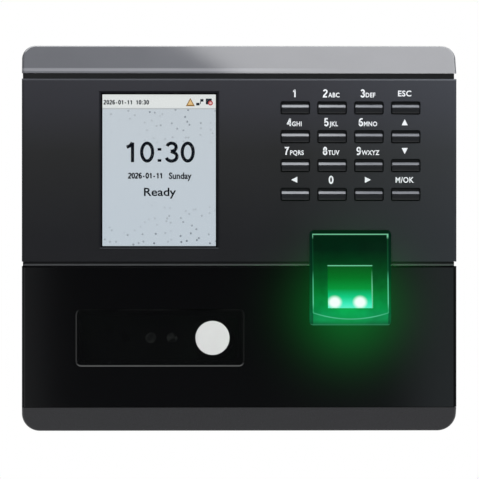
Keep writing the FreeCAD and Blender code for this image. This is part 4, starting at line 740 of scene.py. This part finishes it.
def litGlass(look):
    # optical glass block with painted light from green lamps below: dark green at the top, near white at the foot,
    # with painted highlight lines along its top and right edges
    material, tree, shader, place = newMaterial("lit reader glass")
    axes = addNode(tree, "SeparateXYZ", {"Vector": place}).outputs
    down = between(tree, axes["Z"], prismHigh.z, prismLow.z)
    glow = blendStops(tree, down, look["glass"])
    spot = None
    for x in look["spotPlaces"]:
        middle = (x * mm, prismLow.y, prismLow.z + look["spotRise"] * mm)
        away = addNode(tree, "VectorMath", {0: place, 1: middle}, operation="SUBTRACT").outputs[0]
        flat = addNode(tree, "VectorMath", {0: away, 1: (1, 0, 1.1)}, operation="MULTIPLY").outputs[0]
        far = addNode(tree, "VectorMath", {0: flat}, operation="LENGTH").outputs["Value"]
        near = addNode(tree, "MapRange", {"Value": far, "From Min": look["spots"] * 0.75 * mm,
                                          "From Max": look["spots"] * 0.3 * mm},
                       interpolation_type="SMOOTHSTEP").outputs["Result"]
        spot = near if spot is None else combine(tree, "MAXIMUM", spot, near)
    inset, width = look["ridgeInset"] * mm, look["ridgeWidth"] * mm
    topLine = onLine(tree, axes["Z"], prismHigh.z - inset, width)
    sideLine = combine(tree, "MULTIPLY", onLine(tree, axes["X"], prismHigh.x - inset, width),
                       between(tree, down, 0.1, 0.5))
    ridgeHighlight = combine(tree, "MAXIMUM", topLine, sideLine)
    ridged = addNode(tree, "Mix", {"Factor": ridgeHighlight, "A": glow, "B": toLinear(look["ridgeHighlight"])}, **colourMix)
    lit = addNode(tree, "Mix", {"Factor": spot, "A": ridged.outputs["Result"], "B": toLinear(look["spot"])},
                  **colourMix)
    connect(tree, shader, {"Emission Color": lit.outputs["Result"], "Emission Strength": 1.0,
                           "Base Color": toLinear("#031208"), "Specular IOR Level": 0.05, "Roughness": 0.12,
                           "IOR": 1.52})
    return material

made["reader_glass"] = litGlass(readerLook)


# camera window and lamp; sizes in mm

# the edge colour and the left, top and right shares give the painted glint on the window's edge
smokeLook = {"tint": "#060607", "cloud": "#090A0A", "clear": 0.2, "radius": 2.0, "inset": 0.22, "line": 0.42,
             "edge": "#A4A6A6", "left": 0.3, "top": 0.07, "right": 0.09}
smokeLow, smokeHigh = (Vector(corner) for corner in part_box("camera_window"))

def smokedWindow(look):
    # smoked acrylic: almost opaque in room light, with a painted glint on its polished edge along the foot and the
    # left side
    material, tree, shader, place = newMaterial("smoked acrylic")
    drift = addNode(tree, "TexNoise", {"Vector": place, "Scale": 1 / (20 * mm), "Detail": 2}).outputs["Fac"]
    shade = blendStops(tree, drift, [(0.3, look["tint"]), (0.7, look["cloud"])])
    axes = addNode(tree, "SeparateXYZ", {"Vector": place}).outputs
    past = []
    for axis, low, high in (("X", smokeLow.x, smokeHigh.x), ("Z", smokeLow.z, smokeHigh.z)):
        off = combine(tree, "SUBTRACT", axes[axis], (low + high) / 2)
        far = combine(tree, "ABSOLUTE", off, 0)
        over = combine(tree, "SUBTRACT", far, (high - low) / 2 - look["radius"] * mm)
        past.append(combine(tree, "MAXIMUM", over, 0.0))
    corner = addNode(tree, "CombineXYZ", {"X": past[0], "Y": past[1]}).outputs[0]
    reach = addNode(tree, "VectorMath", {0: corner}, operation="LENGTH").outputs["Value"]
    line = onLine(tree, reach, (look["radius"] - look["inset"]) * mm, look["line"] * mm)
    fromLeft = between(tree, axes["X"], smokeLow.x + 1.5 * mm, smokeLow.x + 0.5 * mm)
    fromRight = between(tree, axes["X"], smokeHigh.x - 1.5 * mm, smokeHigh.x - 0.5 * mm)
    fromTop = between(tree, axes["Z"], smokeHigh.z - 1.5 * mm, smokeHigh.z - 0.5 * mm)
    fromFoot = between(tree, axes["Z"], smokeLow.z + 1.5 * mm, smokeLow.z + 0.5 * mm)
    glintBreakup = addNode(tree, "TexNoise", {"Vector": place, "Scale": 1 / (9 * mm), "Detail": 1}).outputs["Fac"]
    broken = combine(tree, "MULTIPLY", fromTop, between(tree, glintBreakup, 0.45, 0.6), look["top"])
    share = combine(tree, "MAXIMUM", fromFoot, combine(tree, "MULTIPLY", fromLeft, look["left"]),
                    combine(tree, "MULTIPLY", fromRight, look["right"]), broken)
    lit = addNode(tree, "Mix", {"Factor": combine(tree, "MULTIPLY", line, share), "A": black,
                                "B": toLinear(look["edge"])}, **colourMix).outputs["Result"]
    connect(tree, shader, {"Base Color": shade, "Emission Color": lit, "Emission Strength": 0.34,
                           "Alpha": 1 - look["clear"], "Roughness": 0.05, "IOR": 1.49})
    return material

made["smoke_window"] = smokedWindow(smokeLook)


lampLook = {"lit": "#C6C6C5", "cloud": "#C2C1C1", "disc": 6.55, "flange": "#070707"}

def milkyDiffuser(look):
    # opal polycarbonate: milky, satin, with a little light of its own; the flange is masked in black
    material, tree, shader, place = newMaterial("opal polycarbonate")
    cloud = addNode(tree, "TexNoise", {"Vector": place, "Scale": 1 / (6 * mm), "Detail": 2}).outputs["Fac"]
    shade = blendStops(tree, cloud, [(0.3, look["cloud"]), (0.7, look["lit"])])
    middle = centreOf("lamp_diffuser")
    flat = addNode(tree, "VectorMath", {0: place, 1: (1, 0, 1)}, operation="MULTIPLY").outputs[0]
    away = addNode(tree, "VectorMath", {0: flat, 1: (middle.x, 0, middle.z)}, operation="DISTANCE").outputs["Value"]
    isFlange = combine(tree, "GREATER_THAN", away, look["disc"] * mm)
    disc = addNode(tree, "Mix", {"Factor": isFlange, "A": shade, "B": toLinear(look["flange"])}, **colourMix)
    disc = disc.outputs["Result"]
    connect(tree, shader, {"Base Color": disc, "Emission Color": disc, "Emission Strength": 0.12,
                           "Roughness": 0.35})
    return material

made["diffuser"] = milkyDiffuser(lampLook)


# every node of the model takes its finish

wears = {
    "top_cap": "grey_casing", "upper_cover": "matte_casing", "lower_cover": "gloss_casing",
    "bottom_cap": "bottom_casing", "front_frame": "frame_plastic", "rear_cover": "rear_plastic",
    "wall_plate": "coated_steel", "security_screw": "screw_steel", "case_screws": "screw_steel",
    "display_window": "clear_window", "display_gasket": "foam", "lcd_panel": "screen", "lcd_frame": "shield_steel",
    "keypad_mat": "silicone", "keypad_board": "circuit_board", "sensor_bezel": "bezel_plastic",
    "sensor_prism": "reader_glass", "sensor_housing": "module_plastic", "sensor_board": "circuit_board",
    "sensor_leds": "led", "camera_window": "smoke_window", "lamp_diffuser": "diffuser",
    "camera_board": "circuit_board", "camera_visible": "module_plastic", "camera_infrared": "module_plastic",
    "camera_lenses": "lens_glass", "infrared_leds": "infrared_lens", "lamp_leds": "led",
    "main_board": "circuit_board", "board_screws": "screw_steel", "board_chips": "chip_plastic",
    "clock_cell": "cell_steel", "network_socket": "socket_plastic", "terminal_connectors": "terminal_plastic",
    "power_jack": "socket_plastic", "usb_socket": "socket_steel", "speaker": "speaker_plastic",
    "tamper_switch": "module_plastic", "tamper_plunger": "plunger_plastic",
}
for nodeName in nodes:
    dress(nodeName, made["key_plastic" if nodeName.startswith("key_") else wears[nodeName]])
print("nodes dressed:", len(nodes))


# stage: pale floor, dark card, overhead softbox; sizes in metres

cameraLook = {"away": 2.0, "across": -0.0625, "rise": -0.0007, "visible": 184.33, "aim": (0.0, -0.028, -0.0005)}
aim = Vector(cameraLook["aim"])
eye = bpy.data.cameras.new("eye")
eye.sensor_width = 36
eye.lens = 36 * cameraLook["away"] / (cameraLook["visible"] * mm)
camera = bpy.data.objects.new("camera", eye)
camera.location = aim + Vector((cameraLook["across"], -cameraLook["away"], cameraLook["rise"]))
camera.rotation_euler = (aim - camera.location).to_track_quat("-Z", "Y").to_euler()
scene.collection.objects.link(camera)
scene.camera = camera


def addCard(name, size, place, turn, material):
    mesh = bpy.data.meshes.new(name)
    shape = bmesh.new()
    bmesh.ops.create_grid(shape, x_segments=1, y_segments=1, size=0.5)
    shape.to_mesh(mesh)
    shape.free()
    card = bpy.data.objects.new(name, mesh)
    card.scale = (size[0], size[1], 1)
    card.location = place
    card.rotation_euler = turn
    mesh.materials.append(material)
    scene.collection.objects.link(card)
    return card


def paleFloor():
    material, tree = emptyMaterial("pale paper floor")
    seen = addNode(tree, "LightPath").outputs
    either = combine(tree, "MAXIMUM", seen["Is Camera Ray"], seen["Is Glossy Ray"])
    white = addNode(tree, "Emission", {"Color": (1, 1, 1, 1), "Strength": 1.0})
    grain = addNode(tree, "TexNoise", {"Scale": 1 / (2.5 * mm)}).outputs["Fac"]
    matte = addNode(tree, "BsdfDiffuse", {"Color": blendStops(tree, grain, [(0, "#E4E4E4"), (1, "#ECECEC")])})
    mix = addNode(tree, "MixShader", {0: either, 1: matte.outputs[0], 2: white.outputs[0]})
    # clear from below, so that the foot of the case can be seen
    clear = addNode(tree, "BsdfTransparent", {"Color": (1, 1, 1, 1)})
    under = addNode(tree, "NewGeometry").outputs["Backfacing"]
    oneSided = addNode(tree, "MixShader", {0: under, 1: mix.outputs[0], 2: clear.outputs[0]})
    addNode(tree, "OutputMaterial", {"Surface": oneSided.outputs[0]})
    return material


flagLook = {
    "left": -0.332, "right": 0.347, "high": 0.103, "low": -0.097,
    "across": [(0.0, "#C8CACC"), (0.25, "#9A9C9E"), (0.35, "#8E9092"), (0.38, "#1C1D1E"), (0.55, "#181919"),
               (0.65, "#4A4E50"), (0.69, "#A8B4B8"), (0.73, "#A8B4B8"), (0.76, "#2A2B2C"), (1.0, "#2A2B2C")],
    "down": [(0.0, "#000000"), (0.5, "#101010"), (1.0, "#3C3E40")],
}

def darkFlag(look):
    # black cloth behind the camera: it keeps the piano black black, with paler ends and foot
    material, tree = emptyMaterial("black flag cloth")
    axes = addNode(tree, "SeparateXYZ", {"Vector": addNode(tree, "NewGeometry").outputs["Position"]}).outputs
    across = blendStops(tree, between(tree, axes["X"], look["left"], look["right"]), look["across"])
    foot = blendStops(tree, between(tree, axes["Z"], look["high"], look["low"]), look["down"])
    both = addNode(tree, "Mix", {"Factor": 1.0, "A": across, "B": foot}, **colourSum).outputs["Result"]
    glow = addNode(tree, "Emission", {"Color": both, "Strength": 1.0})
    addNode(tree, "OutputMaterial", {"Surface": glow.outputs[0]})
    return material


def greyCard(name, colour):
    material, tree = emptyMaterial(name)
    glow = addNode(tree, "Emission", {"Color": toLinear(colour), "Strength": 1.0})
    addNode(tree, "OutputMaterial", {"Surface": glow.outputs[0]})
    return material


addCard("floor", (6, 6), (0, 0, cadBox[0][2] - 0.12), (0, 0, 0), paleFloor())
flagCard = addCard("dark_flag", (1.6, 1.5), (0, -0.88, 0.56), (radians(90), 0, 0), darkFlag(flagLook))
topCard = addCard("overhead_card", (2.4, 2.0), (0, 0, 0.95), (0, 0, 0), greyCard("grey ceiling", "#9A9C9E"))
leftCard, rightCard = (
    addCard(name, (1.4, 1.6), (across, -0.2, 0.5), (0, radians(90), 0), greyCard(cloth, colour))
    for name, across, cloth, colour in (("left_card", -0.8, "grey side card", "#6A6C6E"),
                                        ("right_card", 0.8, "grey far card", "#5A5C5E")))
for card in (flagCard, topCard, leftCard, rightCard):
    card.visible_camera = False
    card.visible_diffuse = False
    card.visible_shadow = False
    card.visible_transmission = False


def addLamp(name, place, target, size, power, colour="#FFFFFF", inMirrors=False):
    lamp = bpy.data.lights.new(name, "AREA")
    lamp.shape = "RECTANGLE"
    lamp.size, lamp.size_y = size
    lamp.energy = power
    lamp.color = toLinear(colour)[:3]
    holder = bpy.data.objects.new(name, lamp)
    holder.location = place
    holder.rotation_euler = (Vector(target) - Vector(place)).to_track_quat("-Z", "Y").to_euler()
    holder.visible_glossy = inMirrors
    scene.collection.objects.link(holder)
    return holder


# the overhead box is turned, so that its front edge crosses the top band's reflection on a slant
boxLook = {"turn": -31.7, "edge": (0.0, -0.134), "size": (1.3, 0.8), "height": 0.8, "power": 16.0}
turn = radians(boxLook["turn"])
inward = Vector((-sin(turn), cos(turn)))
middle = Vector(boxLook["edge"]) + inward * boxLook["size"][1] / 2
overhead = addLamp("overhead_box", (middle.x, middle.y, boxLook["height"]), (middle.x, middle.y, 0), boxLook["size"],
                   boxLook["power"], inMirrors=True)
overhead.rotation_euler = (0, 0, turn)
addLamp("front_lamp", (0.06, -0.17, 0.27), (0.02, 0, 0.05), (0.3, 0.06), 0.9)
addLamp("side_lamp", (0.30, -0.24, 0.16), (0.07, 0, 0.02), (0.1, 0.2), 0.25)
addLamp("fill_lamp", (-0.3, -1.1, 0.1), (0, 0, 0), (0.8, 0.8), 2.0)
addLamp("back_lamp", (0.0, 1.0, 0.5), (0, 0, 0), (0.9, 0.9), 4.0)

# green light that the reader throws back on the covers around it
glowLook = {"colour": "#10FF60", "power": 0.012, "size": 12, "away": 16}
readerGlow = addLamp("reader_glow", (42.7 * mm, -(28 + glowLook["away"]) * mm, -22 * mm), (42.7 * mm, 0, -24 * mm),
                     (glowLook["size"] * mm, glowLook["size"] * mm), glowLook["power"], glowLook["colour"])
readerGlow.data.use_shadow = False

world = bpy.data.worlds.new("studio")
scene.world = world
world.use_nodes = True
air = world.node_tree
air.nodes.clear()
path = addNode(air, "LightPath").outputs
seen = combine(air, "MAXIMUM", path["Is Camera Ray"], path["Is Glossy Ray"], path["Is Transmission Ray"])
soft = addNode(air, "Background", {"Color": toLinear("#F4F6FA"), "Strength": 0.35})
white = addNode(air, "Background", {"Color": (1, 1, 1, 1), "Strength": 1.0})
surround = addNode(air, "MixShader", {0: seen, 1: soft.outputs[0], 2: white.outputs[0]})
addNode(air, "OutputWorld", {"Surface": surround.outputs[0]})
scene.view_settings.view_transform = "Standard"
print("stage set")
